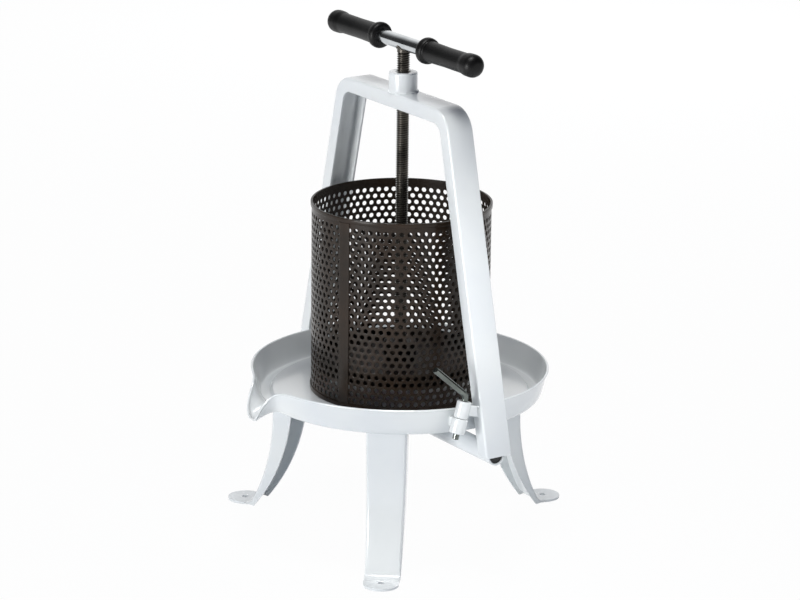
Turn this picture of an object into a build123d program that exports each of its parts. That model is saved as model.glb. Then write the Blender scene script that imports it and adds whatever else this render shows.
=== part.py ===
from build123d import *

import os
from math import asin, atan2, cos, degrees, hypot, radians, sin, sqrt, tan

# Screw fruit press. The frame stands on the ground under the screw: +Z up, -Y to the spout,
# +X to the lock. All sizes are millimetres and degrees.

# Drip tray
RIM_HEIGHT = 191.0            # top of the rim above the ground
TRAY_RIM_RADIUS = 168.2       # outside of the folded rim
RIM_HEM = 3.0                 # width of the folded rim
RIM_HEM_HEIGHT = 4.0
TRAY_DEPTH = 31.0             # rim to underside
TRAY_FLARE = 7.5              # how far the wall leans out on its way up
TRAY_SHEET = 1.5
TRAY_CORNER = 6.0             # slope where wall and floor meet, along each of them
PLATFORM_RADIUS = 143.0       # raised floor inside the gutter
PLATFORM_RISE = 4.0
PLATFORM_STEP = 4.0           # radial width of the slope between platform and gutter
SPOUT_TURN = -3.2             # the spout's middle line from the -Y axis, as in the photo
SPOUT_HALF_WIDTH = 25.0       # at the rim, before the valley is rounded
SPOUT_REACH = 16.0            # tip beyond the rim
SPOUT_DROP = 41.0             # tip below the rim
SPOUT_VALLEY = 9.5            # outside radius along the bottom of the spout

# Legs
LEG_AZIMUTH = 54.5            # front legs, each side of the spout
LEG_SHEET = 2.5
LEG_TOP_RADIUS = 150.0        # outside of the web under the tray
LEG_TOP_WIDTH = 45.0
LEG_FOOT_WIDTH = 39.5
LEG_BOW_START = 116.0         # height where the straight part ends
LEG_BOW = 235.0               # radius of the outward bow
TOE_BEND = 10.0               # radius of the bend into the toe
FLANGE_TOP_DEPTH = 24.0
FLANGE_MID_DEPTH = 18.0
FLANGE_HEEL = 11.0            # flange ends this far inside the toe bend
FOOT_CIRCLE_RADIUS = 195.0    # foot holes from the screw axis
FOOT_HOLE = 7.0

# Yoke and screw nut
YOKE_TURN = 3.2               # the yoke's plane from the X axis
YOKE_RISE = 315.0             # top of the yoke above the rim
YOKE_FLARE = 13.8             # each leg from the vertical
YOKE_BEND = 31.0              # outside radius
YOKE_RIM_GAP = 0.3            # flange edges to the tray's rim
CHANNEL_WIDTH = 33.0
CHANNEL_DEPTH = 16.5
CHANNEL_WALL = 3.0
NUT_DIAMETER = 32.0
NUT_RISE = 22.0               # above the yoke
NUT_DEPTH = 14.0              # below the yoke's top

# Cross tube and its lugs
TUBE_DIAMETER = 21.3
TUBE_WALL = 2.0
TUBE_DROP = 22.0              # axis below the tray's underside
YOKE_FOOT_LIFT = 1.0          # the yoke's feet end this far above the tube's axis
PLUG_LENGTH = 12.0
PLUG_RECESS = 1.0
LUG_SPACING = 60.0
LUG_THICKNESS = 6.0
LUG_WALL = 5.0                # round the tube
LUG_CLEARANCE = 0.05

# Lock
LOCK_INSET = 9.5              # knuckle axis inside the yoke leg's outer face
LOCK_STANDOFF = 21.7          # knuckle axis in front of the yoke leg
LOCK_SEAM_DROP = 6.9          # seam between the knuckles below the rim
LOCK_TILT = 15.4              # knuckle axis, leaning back from the vertical
UPPER_KNUCKLE = 16.0
UPPER_KNUCKLE_LENGTH = 19.0
LOWER_KNUCKLE = 17.5
LOWER_KNUCKLE_LENGTH = 17.0
KNUCKLE_GAP = 0.4
PIN_DIAMETER = 7.0
PIN_CLEARANCE = 0.08
PIN_TAIL = 7.0                # below the lower knuckle
PIN_NECK = 6.5                # above the upper knuckle, to the corner of the bend
PIN_BEND = 9.0
PIN_HANDLE = 54.0
PIN_HANDLE_ANGLE = 64.3       # between the pin's shank and its handle
TAB_THICKNESS = 5.0
TAB_HEIGHT = 12.0
BRACKET_THICKNESS = 8.0
BRACKET_HEIGHT = 12.0

# Press screw and handle
SCREW_DIAMETER = 14.3
SCREW_CLEARANCE = 0.05
BAR_DIAMETER = 16.0
BAR_LENGTH = 272.0
BAR_GAP = 24.0                # bar to nut
GRIP_INNER_END = 42.0         # from the screw axis
GRIP_DIAMETER = 23.0
GRIP_COLLAR = 29.5
GRIP_COLLAR_WIDTH = 11.0
GRIP_KNOB = 25.5              # swollen outer end
GRIP_KNOB_LENGTH = 22.0
GRIP_EDGE = 5.0               # slope round the outer end
GRIP_END_WALL = 7.0           # closed end beyond the bar

# Basket
BASKET_DIAMETER = 200.0
BASKET_HEIGHT = 216.0
BASKET_SHEET = 1.2
BAND_SHEET = 1.2
TOP_BAND_HEIGHT = 9.0
BOTTOM_BAND_HEIGHT = 12.0
SEAM_WIDTH = 11.0
SEAM_AZIMUTH = -71.0
WINDOW_COLUMNS = 24           # openings round the basket, coarser than the real perforation
WINDOW_ROWS = 2
WINDOW_WIDTH_SHARE = 0.6      # of the pitch round the basket that an opening takes
WINDOW_HEIGHT_SHARE = 0.85    # of the pitch between rows

# Press plate and swivel
PLATE_GAP = 25.0              # plate above the tray's platform
PLATE_CLEARANCE = 4.0         # plate to basket, on the radius
PLATE_SHEET = 4.0
PLATE_UPSTAND = 16.0          # turned-up edge, full height
PLATE_CORNER = 2.5            # slope round the plate's lower edge
HUB_DIAMETER = 36.0
HUB_HEIGHT = 26.0
DISC_THICKNESS = 3.0
DISC_GAP = 0.1                # screw end to thrust disc
KEEPER_DIAMETER = 4.8
KEEPER_HEIGHT = 12.0          # keeper axis above the screw's end
KEEPER_PLAY = 0.15
GROOVE_DIAMETER = 10.0

# Levels and places that follow from the sizes above
UNDERSIDE = RIM_HEIGHT - TRAY_DEPTH
PLATFORM_UNDERSIDE = UNDERSIDE + PLATFORM_RISE
PLATFORM = PLATFORM_UNDERSIDE + TRAY_SHEET
WALL_TOP_RADIUS = TRAY_RIM_RADIUS - RIM_HEM + TRAY_SHEET
WALL_FOOT_RADIUS = WALL_TOP_RADIUS - TRAY_FLARE
WALL_LEAN = TRAY_FLARE / TRAY_DEPTH
SPOUT_TIP_RADIUS = TRAY_RIM_RADIUS + SPOUT_REACH
SPOUT_TIP_HEIGHT = RIM_HEIGHT - SPOUT_DROP
YOKE_TOP = RIM_HEIGHT + YOKE_RISE
YOKE_AT_RIM = TRAY_RIM_RADIUS + YOKE_RIM_GAP + CHANNEL_DEPTH / cos(radians(YOKE_FLARE))
TUBE_AXIS = UNDERSIDE - TUBE_DROP
YOKE_FOOT = TUBE_AXIS + YOKE_FOOT_LIFT
NUT_TOP = YOKE_TOP + NUT_RISE
BAR_AXIS = NUT_TOP + BAR_GAP + BAR_DIAMETER / 2
PLATE_BOTTOM = PLATFORM + PLATE_GAP
HUB_BOTTOM = PLATE_BOTTOM + PLATE_SHEET
SCREW_END = HUB_BOTTOM + DISC_THICKNESS + DISC_GAP
KEEPER_AXIS = SCREW_END + KEEPER_HEIGHT
KEEPER_OFFSET = (GROOVE_DIAMETER + KEEPER_DIAMETER) / 2 + KEEPER_PLAY
BASKET_RADIUS = BASKET_DIAMETER / 2
SOCKET_RADIUS = SCREW_DIAMETER / 2 + SCREW_CLEARANCE
PAST = 30.0                   # how far a cutting shape runs past what it cuts


def yoke_reach(height):
    """Outside of a yoke leg from the screw axis, at a height."""
    return YOKE_AT_RIM + (RIM_HEIGHT - height) * tan(radians(YOKE_FLARE))


LOCK_HEIGHT = RIM_HEIGHT - LOCK_SEAM_DROP
LOCK_X = yoke_reach(LOCK_HEIGHT) - LOCK_INSET
LOCK_Y = -CHANNEL_WIDTH / 2 - LOCK_STANDOFF
LOCK = Pos(LOCK_X, LOCK_Y, LOCK_HEIGHT) * Rot(-LOCK_TILT, 0, 0)
TURNED = Rot(0, 0, YOKE_TURN)
ALONG_X = Rot(0, 90, 0)


def face_of(*lines):
    """A face inside a closed run of lines and arcs."""
    return make_face([edge for line in lines for edge in line.edges()])


def rounded(face, corner, radius):
    """A face with the corner nearest to a point rounded."""
    return fillet(face.vertices().sort_by_distance(corner)[0], radius)


def rod(radius, bottom, top):
    """A solid cylinder about the Z axis between two levels."""
    return Pos(0, 0, (bottom + top) / 2) * Cylinder(radius, top - bottom)


def ring(outer, inner, bottom, top):
    """A tube about the Z axis between two levels."""
    return rod(outer, bottom, top) - rod(inner, bottom, top)


# Drip tray


def tray_volume(inset, top):
    """The round tray filled up to a level, its sheet drawn in by an inset."""
    floor = UNDERSIDE + inset
    foot = (WALL_FOOT_RADIUS - inset * (1 - WALL_LEAN), floor)
    outline = Polyline(
        (0, floor + PLATFORM_RISE),
        (PLATFORM_RADIUS, floor + PLATFORM_RISE),
        (PLATFORM_RADIUS + PLATFORM_STEP, floor),
        foot,
        (WALL_TOP_RADIUS - inset + (top - RIM_HEIGHT) * WALL_LEAN, top),
        (0, top),
        close=True,
    )
    section = make_face(outline)
    corner = section.vertices().sort_by_distance(foot)[0]
    return revolve(Plane.XZ * chamfer(corner, TRAY_CORNER - inset / 2), Axis.Z)


def spout_trough(inset):
    """A V trough that falls from the gutter to the spout's tip, its sheet drawn in by an inset."""
    run = SPOUT_TIP_RADIUS - WALL_FOOT_RADIUS + TRAY_CORNER
    fall = (UNDERSIDE - SPOUT_TIP_HEIGHT) / run
    slope = SPOUT_HALF_WIDTH / (SPOUT_DROP - fall * SPOUT_REACH)
    slant = sqrt(1 + slope**2) / slope
    valley = SPOUT_TIP_HEIGHT + inset * slant - SPOUT_VALLEY * (slant - 1)
    height = SPOUT_DROP + PAST
    outline = Polyline(
        (0, valley),
        (height * slope, valley + height),
        (-height * slope, valley + height),
        close=True,
    )
    section = rounded(make_face(outline), (0, valley), SPOUT_VALLEY - inset)
    at_tip = Pos(0, -SPOUT_TIP_RADIUS, 0) * (Plane.XZ * section)
    return extrude(at_tip, run, dir=(0, -1, -fall), both=True)


def spout_side():
    """The spout's side view: level with the rim, then a long round drop to the tip."""
    inside = WALL_FOOT_RADIUS - PAST
    level = Line((inside, RIM_HEIGHT), (WALL_FOOT_RADIUS, RIM_HEIGHT))
    bulge = SPOUT_TIP_RADIUS - WALL_FOOT_RADIUS
    drop = EllipticalCenterArc((WALL_FOOT_RADIUS, SPOUT_TIP_HEIGHT), bulge, SPOUT_DROP, 0, arc_size=90)
    below = Polyline(
        (SPOUT_TIP_RADIUS, SPOUT_TIP_HEIGHT),
        (SPOUT_TIP_RADIUS, SPOUT_TIP_HEIGHT - PAST),
        (inside, SPOUT_TIP_HEIGHT - PAST),
        (inside, RIM_HEIGHT),
    )
    sideways = Plane(origin=(0, 0, 0), x_dir=(0, -1, 0), z_dir=(-1, 0, 0))
    return extrude(sideways * face_of(level, drop, below), SPOUT_HALF_WIDTH + PAST, both=True)


def drip_tray():
    """Pressed tray with a folded rim, a gutter round its raised floor and a pulled spout."""
    hem_foot = RIM_HEIGHT - RIM_HEM_HEIGHT
    sheet = tray_volume(0, RIM_HEIGHT)
    sheet += ring(TRAY_RIM_RADIUS, TRAY_RIM_RADIUS - RIM_HEM, hem_foot, RIM_HEIGHT)
    sheet += spout_trough(0) & spout_side()
    sheet -= tray_volume(TRAY_SHEET, RIM_HEIGHT + PAST)
    return Rot(0, 0, SPOUT_TURN) * (sheet - spout_trough(TRAY_SHEET))


# Legs


def leg_side(inset):
    """The bowed line of a leg's web, drawn in by an inset, from its top to its toe."""
    sine = (LEG_BOW_START - LEG_SHEET - TOE_BEND) / (LEG_BOW - TOE_BEND)
    angle = degrees(asin(sine))
    top = Line((LEG_TOP_RADIUS - inset, RIM_HEIGHT), (LEG_TOP_RADIUS - inset, LEG_BOW_START))
    bow = JernArc(top @ 1, (0, -1), LEG_BOW + inset, angle)
    bend = JernArc(bow @ 1, bow % 1, TOE_BEND + inset, 90 - angle)
    return top, bow, bend


def leg_taper(inset):
    """The leg's front view as a long block: straight sides that draw in towards the foot."""
    top = LEG_TOP_WIDTH / 2 - inset
    foot = LEG_FOOT_WIDTH / 2 - inset
    right = [(foot, -PAST), (foot, 0), (top, UNDERSIDE), (top, RIM_HEIGHT)]
    left = [(-x, z) for x, z in reversed(right)]
    front = make_face(Polyline(*right, *left, close=True))
    return extrude(Plane.YZ * front, FOOT_CIRCLE_RADIUS + LEG_FOOT_WIDTH)


def leg_channel():
    """The leg's channel: bowed web, two flanges that end at the heel, and a flat square toe."""
    top, bow, bend = leg_side(0)
    toe = FOOT_CIRCLE_RADIUS + LEG_FOOT_WIDTH / 2
    edge = LEG_TOP_RADIUS - FLANGE_TOP_DEPTH
    middle = bow @ 0.5 - (FLANGE_MID_DEPTH, 0)
    heel = ((bend @ 1).X - FLANGE_HEEL, 0)
    sole = Polyline(bend @ 1, (toe, LEG_SHEET), (toe, 0), heel)
    flange = ThreePointArc(heel, middle, (edge, LEG_BOW_START))
    head = Polyline((edge, LEG_BOW_START), (edge, RIM_HEIGHT), top @ 0)
    block = extrude(Plane.XZ * face_of(top, bow, bend, sole, flange, head), LEG_TOP_WIDTH, both=True)

    top, bow, bend = leg_side(LEG_SHEET)
    heel_line = Polyline(bend @ 1, bend @ 1 - (0, PAST), (0, -PAST), (0, RIM_HEIGHT), top @ 0)
    pocket = extrude(Plane.XZ * face_of(top, bow, bend, heel_line), LEG_TOP_WIDTH, both=True)
    return (block & leg_taper(0)) - (pocket & leg_taper(LEG_SHEET))


def leg(azimuth):
    """A pressed leg with a round drilled toe, cut to the tray's underside."""
    foot = Pos(FOOT_CIRCLE_RADIUS, 0, 0)
    round_end = LEG_FOOT_WIDTH / 2
    square = Pos(round_end, 0, 0) * Box(2 * round_end, 4 * round_end, 4 * LEG_SHEET)
    corners = square - Cylinder(round_end, 4 * LEG_SHEET)
    shape = leg_channel() - foot * corners - foot * Cylinder(FOOT_HOLE / 2, 4 * LEG_SHEET)
    return Rot(0, 0, azimuth) * shape - tray_volume(0, RIM_HEIGHT + PAST)


# Yoke, nut and cross tube


def yoke_arch(inset, width, foot):
    """The flared arch as a solid block, drawn in by an inset, down to a level."""
    side = inset / cos(radians(YOKE_FLARE))
    top = YOKE_TOP - inset
    shoulder = yoke_reach(top) - side
    reach = yoke_reach(foot) - side
    outline = Polyline((-reach, foot), (-shoulder, top), (shoulder, top), (reach, foot), close=True)
    face = make_face(outline)
    face = rounded(face, (shoulder, top), YOKE_BEND - inset)
    face = rounded(face, (-shoulder, top), YOKE_BEND - inset)
    return extrude(Plane.XZ * face, width / 2, both=True)


def yoke():
    """A channel bent to a flared arch, open inwards, with the nut and the lock's barrel welded on."""
    shape = yoke_arch(0, CHANNEL_WIDTH, YOKE_FOOT)
    shape -= yoke_arch(CHANNEL_DEPTH, CHANNEL_WIDTH + PAST, YOKE_FOOT - PAST)
    shape -= yoke_arch(CHANNEL_WALL, CHANNEL_WIDTH - 2 * CHANNEL_WALL, YOKE_FOOT - PAST)
    shape += rod(NUT_DIAMETER / 2, YOKE_TOP - NUT_DEPTH, NUT_TOP)
    shape -= rod(SOCKET_RADIUS, YOKE_TOP - NUT_DEPTH - PAST, NUT_TOP + PAST)
    return TURNED * (shape + upper_knuckle())


def tube_half_length():
    """The cross tube ends where its top line meets the yoke's web."""
    return yoke_reach(TUBE_AXIS + TUBE_DIAMETER / 2) - CHANNEL_WALL / cos(radians(YOKE_FLARE))


def across(radius, start, end, height):
    """A solid cylinder along the yoke's plane between two distances from the screw."""
    return TURNED * Pos((start + end) / 2, 0, height) * ALONG_X * Cylinder(radius, end - start)


def cross_tube():
    """Tube under the tray from one yoke foot to the other."""
    half = tube_half_length()
    outside = across(TUBE_DIAMETER / 2, -half, half, TUBE_AXIS)
    return outside - across(TUBE_DIAMETER / 2 - TUBE_WALL, -half - PAST, half + PAST, TUBE_AXIS)


def tube_plug(side):
    """Plug pushed into an end of the cross tube."""
    end = side * (tube_half_length() - PLUG_RECESS)
    inner = end - side * PLUG_LENGTH
    return across(TUBE_DIAMETER / 2 - TUBE_WALL, min(end, inner), max(end, inner), TUBE_AXIS)


def pivot_lug(side):
    """Plate welded under the tray's floor, bored to carry the cross tube."""
    half_width = TUBE_DIAMETER / 2 + LUG_WALL
    height = PLATFORM_UNDERSIDE - TUBE_AXIS
    eye = ALONG_X * Cylinder(half_width, LUG_THICKNESS)
    shape = eye + Pos(0, 0, height / 2) * Box(LUG_THICKNESS, 2 * half_width, height)
    shape -= ALONG_X * Cylinder(TUBE_DIAMETER / 2 + LUG_CLEARANCE, LUG_THICKNESS + PAST)
    return TURNED * Pos(side * LUG_SPACING / 2, 0, TUBE_AXIS) * shape


# Lock


def pin_hole():
    """The bore that runs through both knuckles."""
    radius = PIN_DIAMETER / 2 + PIN_CLEARANCE
    return rod(radius, -LOWER_KNUCKLE_LENGTH - PAST, UPPER_KNUCKLE_LENGTH + PAST)


def upper_knuckle():
    """Barrel of the lock on the yoke, with the plate that ties it to the yoke leg's side."""
    reach = LOCK_STANDOFF + PAST
    plate = Pos(0, reach / 2, UPPER_KNUCKLE_LENGTH / 2) * Box(TAB_THICKNESS, reach, TAB_HEIGHT)
    barrel = rod(UPPER_KNUCKLE / 2, KNUCKLE_GAP / 2, UPPER_KNUCKLE_LENGTH)
    channel_side = CHANNEL_WALL / 2 - CHANNEL_WIDTH / 2
    channel = Pos(LOCK_X, PAST + channel_side, LOCK_HEIGHT) * Box(2 * PAST, 2 * PAST, 4 * PAST)
    return LOCK * (plate + barrel - pin_hole()) - channel


def lower_knuckle():
    """Barrel of the lock on the tray, with the plate that ties it to the tray's wall."""
    middle = LOCK * Pos(0, 0, -LOWER_KNUCKLE_LENGTH / 2)
    spot = middle.position
    reach = hypot(spot.X, spot.Y)
    inner = WALL_FOOT_RADIUS - TRAY_CORNER
    plate = Pos((inner + reach) / 2, 0, spot.Z) * Box(reach - inner, BRACKET_THICKNESS, BRACKET_HEIGHT)
    plate = Rot(0, 0, degrees(atan2(spot.Y, spot.X))) * plate
    plate -= LOCK * Pos(0, 0, -KNUCKLE_GAP / 2) * rod(LOWER_KNUCKLE / 2, 0, PAST)
    barrel = rod(LOWER_KNUCKLE / 2, -LOWER_KNUCKLE_LENGTH, -KNUCKLE_GAP / 2)
    shape = plate + LOCK * barrel - LOCK * pin_hole()
    return TURNED * shape - tray_volume(0, RIM_HEIGHT + PAST)


def lock_pin():
    """Bent round pin: a straight shank through both knuckles and a handle to pull it by."""
    tail = -LOWER_KNUCKLE_LENGTH - PIN_TAIL
    corner = UPPER_KNUCKLE_LENGTH + PIN_NECK
    lean = radians(PIN_HANDLE_ANGLE)
    handle_end = (0, -PIN_HANDLE * sin(lean), corner + PIN_HANDLE * cos(lean))
    path = FilletPolyline((0, 0, tail), (0, 0, corner), handle_end, radius=PIN_BEND)
    return TURNED * LOCK * sweep(Pos(0, 0, tail) * Circle(PIN_DIAMETER / 2), path=path)


# Press screw and handle


def handle_bar():
    """Plain round bar across the top of the screw."""
    return across(BAR_DIAMETER / 2, -BAR_LENGTH / 2, BAR_LENGTH / 2, BAR_AXIS)


def press_screw():
    """Screw from the swivel up to the bar, its top coped to the bar, with a groove for the keepers."""
    half = KEEPER_DIAMETER / 2 + KEEPER_PLAY
    shape = rod(SCREW_DIAMETER / 2, SCREW_END, BAR_AXIS) - handle_bar()
    return shape - ring(SCREW_DIAMETER, GROOVE_DIAMETER / 2, KEEPER_AXIS - half, KEEPER_AXIS + half)


def grip(side):
    """Moulded grip pushed over the bar: flange collar, straight body, swollen closed end."""
    end = BAR_LENGTH / 2 + GRIP_END_WALL
    neck = GRIP_INNER_END + GRIP_COLLAR_WIDTH
    body = GRIP_DIAMETER / 2
    knob = GRIP_KNOB / 2
    collar = GRIP_COLLAR / 2
    profile = Polyline(
        (BAR_LENGTH / 2, 0),
        (BAR_LENGTH / 2, BAR_DIAMETER / 2),
        (GRIP_INNER_END, BAR_DIAMETER / 2),
        (GRIP_INNER_END, collar),
        (neck, collar),
        (neck, body),
        (end - GRIP_KNOB_LENGTH, body),
        (end - GRIP_KNOB_LENGTH, knob),
        (end - GRIP_EDGE, knob),
        (end, knob - GRIP_EDGE),
        (end, 0),
        close=True,
    )
    shape = revolve(Plane.XZ * make_face(profile), Axis.X)
    return TURNED * Pos(0, 0, BAR_AXIS) * Rot(0, 0, 90 - 90 * side) * shape


# Basket


def basket_band(bottom, height):
    """Hoop round the outside of the basket."""
    return ring(BASKET_RADIUS + BAND_SHEET, BASKET_RADIUS - BASKET_SHEET, bottom, bottom + height)


def seam_strap(bottom, top):
    """Plain strip over the sheet's joint, between the bands."""
    block = Pos(BASKET_RADIUS, 0, (bottom + top) / 2) * Box(BASKET_RADIUS, SEAM_WIDTH, top - bottom)
    strip = ring(BASKET_RADIUS + BAND_SHEET, BASKET_RADIUS - BASKET_SHEET, bottom, top) & block
    return Rot(0, 0, SEAM_AZIMUTH) * strip


def basket_windows(bottom, top):
    """Rows of openings between the bands, with the seam on a rib between two columns."""
    turn = 360 / WINDOW_COLUMNS
    rise = (top - bottom) / WINDOW_ROWS
    width = WINDOW_WIDTH_SHARE * radians(turn) * BASKET_RADIUS
    window = Pos(BASKET_RADIUS, 0, 0) * Box(BASKET_RADIUS / 2, width, WINDOW_HEIGHT_SHARE * rise)
    turns = [SEAM_AZIMUTH + (column + 0.5) * turn for column in range(WINDOW_COLUMNS)]
    levels = [bottom + (row + 0.5) * rise for row in range(WINDOW_ROWS)]
    return [Pos(0, 0, level) * Rot(0, 0, angle) * window for level in levels for angle in turns]


def basket_shell():
    """Rolled sheet cylinder, open at both ends: openings, a hoop at each end, the seam's strap."""
    top = PLATFORM + BASKET_HEIGHT
    upper, lower = top - TOP_BAND_HEIGHT, PLATFORM + BOTTOM_BAND_HEIGHT
    sheet = ring(BASKET_RADIUS, BASKET_RADIUS - BASKET_SHEET, PLATFORM, top)
    sheet -= basket_windows(lower, upper)
    hoops = basket_band(PLATFORM, BOTTOM_BAND_HEIGHT) + basket_band(upper, TOP_BAND_HEIGHT)
    return sheet + hoops + seam_strap(lower, upper)


# Press plate and swivel


def keeper(side):
    """A cross pin through the hub that holds the screw's end by its groove."""
    length = 2 * sqrt((HUB_DIAMETER / 2) ** 2 - (KEEPER_OFFSET + KEEPER_DIAMETER / 2) ** 2)
    place = TURNED * Pos(side * KEEPER_OFFSET, 0, KEEPER_AXIS)
    return place * Rot(90, 0, 0) * Cylinder(KEEPER_DIAMETER / 2, length)


def plate_hub():
    """Hub with a socket for the screw's end: a thrust disc at its bottom, two keepers across it."""
    hub = rod(HUB_DIAMETER / 2, HUB_BOTTOM, HUB_BOTTOM + HUB_HEIGHT)
    socket = rod(SOCKET_RADIUS, HUB_BOTTOM + DISC_THICKNESS, HUB_BOTTOM + HUB_HEIGHT)
    return hub - (socket - keeper(-1) - keeper(1))


def press_plate():
    """Round plate with a turned-up edge and its hub."""
    outer = BASKET_RADIUS - BASKET_SHEET - PLATE_CLEARANCE
    pan = rod(outer, PLATE_BOTTOM, PLATE_BOTTOM + PLATE_UPSTAND)
    pan = chamfer(pan.edges().group_by(Axis.Z)[0], PLATE_CORNER)
    return pan - rod(outer - PLATE_SHEET, HUB_BOTTOM, PLATE_BOTTOM + PLATE_UPSTAND) + plate_hub()


pieces = {
    "drip_tray": drip_tray(),
    "leg_front_right": leg(LEG_AZIMUTH - 90),
    "leg_front_left": leg(-LEG_AZIMUTH - 90),
    "leg_rear": leg(90),
    "pivot_lug_right": pivot_lug(1),
    "pivot_lug_left": pivot_lug(-1),
    "cross_tube": cross_tube(),
    "tube_plug_right": tube_plug(1),
    "tube_plug_left": tube_plug(-1),
    "yoke": yoke(),
    "lower_knuckle": lower_knuckle(),
    "lock_pin": lock_pin(),
    "press_screw": press_screw(),
    "handle_bar": handle_bar(),
    "grip_right": grip(1),
    "grip_left": grip(-1),
    "basket_shell": basket_shell(),
    "press_plate": press_plate(),
}

os.makedirs("parts", exist_ok=True)
for name, piece in pieces.items():
    export_step(piece, f"parts/{name}.step")
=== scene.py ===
import logging
from collections.abc import Sequence
from dataclasses import dataclass, field
from enum import Enum
from math import asin, ceil, cos, pi, radians, sin, sqrt, tan
from typing import Any

import bmesh
import bpy
import numpy as np
from mathutils import Matrix, Vector


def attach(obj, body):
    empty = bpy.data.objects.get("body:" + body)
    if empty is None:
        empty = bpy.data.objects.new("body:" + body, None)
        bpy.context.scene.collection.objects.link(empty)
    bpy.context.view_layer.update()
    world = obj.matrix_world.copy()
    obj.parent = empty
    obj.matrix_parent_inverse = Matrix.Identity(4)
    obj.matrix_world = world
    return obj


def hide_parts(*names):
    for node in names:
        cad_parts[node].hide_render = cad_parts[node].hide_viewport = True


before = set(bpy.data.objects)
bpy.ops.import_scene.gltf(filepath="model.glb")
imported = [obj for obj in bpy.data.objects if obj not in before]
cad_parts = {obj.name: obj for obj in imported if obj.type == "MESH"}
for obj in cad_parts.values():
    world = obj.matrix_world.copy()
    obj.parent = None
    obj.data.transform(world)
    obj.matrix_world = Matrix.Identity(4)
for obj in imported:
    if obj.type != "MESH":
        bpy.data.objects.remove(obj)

# Looks of the screw fruit press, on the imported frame. Sizes are millimetres and degrees, as in the
# part's source: +Z up, -Y to the spout, +X to the lock. Meshes are scaled to metres as they are made.

Pair = tuple[float, float]
Triple = tuple[float, float, float]
Quad = tuple[float, float, float, float]
Rows = Sequence[Sequence[Sequence[float]]]
Piece, Tree, Node, Socket = bpy.types.Object, bpy.types.NodeTree, bpy.types.Node, bpy.types.NodeSocket

LOG = logging.getLogger("fruit_press")
MM = 0.001
SAME = 1e-6  # metres within which two points are one
SLIVER = 1e-7  # metres below which an edge is dropped
FULL = 2 * pi
UP = Vector((0, 0, 1))
ASKEW = Vector((0.12, 0.08, 1))  # no bent bar here runs this way
LEVEL = Matrix.Identity(4)
YOKE_TURN = 3.2  # the yoke's plane from the X axis
TURNED = Matrix.Rotation(radians(YOKE_TURN), 4, "Z")
MATH, NOISE, MOVE = "ShaderNodeMath", "ShaderNodeTexNoise", "GeometryNodeSetPosition"
JOIN_XYZ, SPLIT_XYZ = "ShaderNodeCombineXYZ", "ShaderNodeSeparateXYZ"


class Body(Enum):
    """The bodies that pieces ride on."""

    STAND = "stand"
    PIN = "pin"
    RAM = "ram"
    SCREW = "screw"
    BASKET = "basket"


class Slot(Enum):
    """The record's material slots."""

    WHITE = "white_enamel"
    BROWN = "brown_enamel"
    DARK = "dark_steel"
    ZINC = "zinc_steel"
    STEEL = "plain_steel"
    RUBBER = "black_rubber"
    PLASTIC = "black_plastic"


class Side(Enum):
    """The two sides of the screw along the yoke."""

    RIGHT = 1
    LEFT = -1

    @property
    def word(self) -> str:
        """The side as the nodes' names have it."""
        return self.name.lower()


def linear(colour: str) -> Quad:
    """Turns an sRGB hex colour to linear light.

    Args:
        colour: such as "#eceef0".

    Returns:
        Red, green, blue and an alpha of one.
    """
    shares = [int(colour[i : i + 2], 16) / 255 for i in (1, 3, 5)]
    red, green, blue = (s / 12.92 if s <= 0.04045 else ((s + 0.055) / 1.055) ** 2.4 for s in shares)
    return red, green, blue, 1.0


def emptied(owner: bpy.types.Material | bpy.types.World) -> Tree:
    """Turns on an owner's nodes and clears them.

    Args:
        owner: a material or the world.

    Returns:
        Its node tree.
    """
    owner.use_nodes = True
    owner.node_tree.nodes.clear()
    return owner.node_tree


def add(tree: Tree, kind: str, links: dict[Any, Any] | Sequence[Any] = (), **settings: Any) -> Node:
    """Adds a node to a tree.

    Args:
        tree: the tree.
        kind: the node's type.
        links: what goes in, by input or in the inputs' order: a value, an output, or a node for its
            first output.
        settings: the node's own properties.

    Returns:
        The node.
    """
    node = tree.nodes.new(kind)
    for name, value in settings.items():
        setattr(node, name, value)
    for name, value in links.items() if isinstance(links, dict) else enumerate(links):
        if isinstance(value, Node):
            value = value.outputs[0]
        if isinstance(value, Socket):
            tree.links.new(value, node.inputs[name])
        else:
            node.inputs[name].default_value = value
    return node


def eased(corners: Sequence[Triple], closed: bool = False, steps: int = 4) -> list[Pair]:
    """Rounds the corners of a flat outline.

    Args:
        corners: each corner's two coordinates and its radius.
        closed: whether the last corner joins the first.
        steps: how many pieces each arc has.

    Returns:
        The outline's points.
    """
    points: list[Pair] = []
    count = len(corners)
    for i, (x, y, radius) in enumerate(corners):
        if radius == 0 or (not closed and i in (0, count - 1)):
            points.append((x, y))
            continue
        here = Vector((x, y))
        back = (Vector(corners[i - 1][:2]) - here).normalized()
        ahead = (Vector(corners[(i + 1) % count][:2]) - here).normalized()
        half = back.angle(ahead) / 2
        centre = here + (back + ahead).normalized() * radius / sin(half)
        start = here + back * radius / tan(half) - centre
        end = here + ahead * radius / tan(half) - centre
        points += [tuple(centre + start.slerp(end, k / steps) * radius) for k in range(steps + 1)]
    return points


def settle(piece: Piece) -> None:
    """Turns a piece and its modifiers into one plain mesh.

    Args:
        piece: the object.
    """
    graph = bpy.context.evaluated_depsgraph_get()
    mesh = bpy.data.meshes.new_from_object(piece.evaluated_get(graph))
    piece.modifiers.clear()
    piece.data = mesh
    mesh.name = piece.name


def thicken(piece: Piece, wall: float) -> None:
    """Gives a sheet its thickness, behind its faces."""
    piece.modifiers.new("Wall", "SOLIDIFY").thickness = wall * MM
    settle(piece)


def smooth(piece: Piece, sharp: float) -> None:
    """Shades a piece smooth, apart from edges over an angle."""
    piece.data.shade_smooth()
    piece.data.set_sharp_from_angle(angle=radians(sharp))


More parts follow.
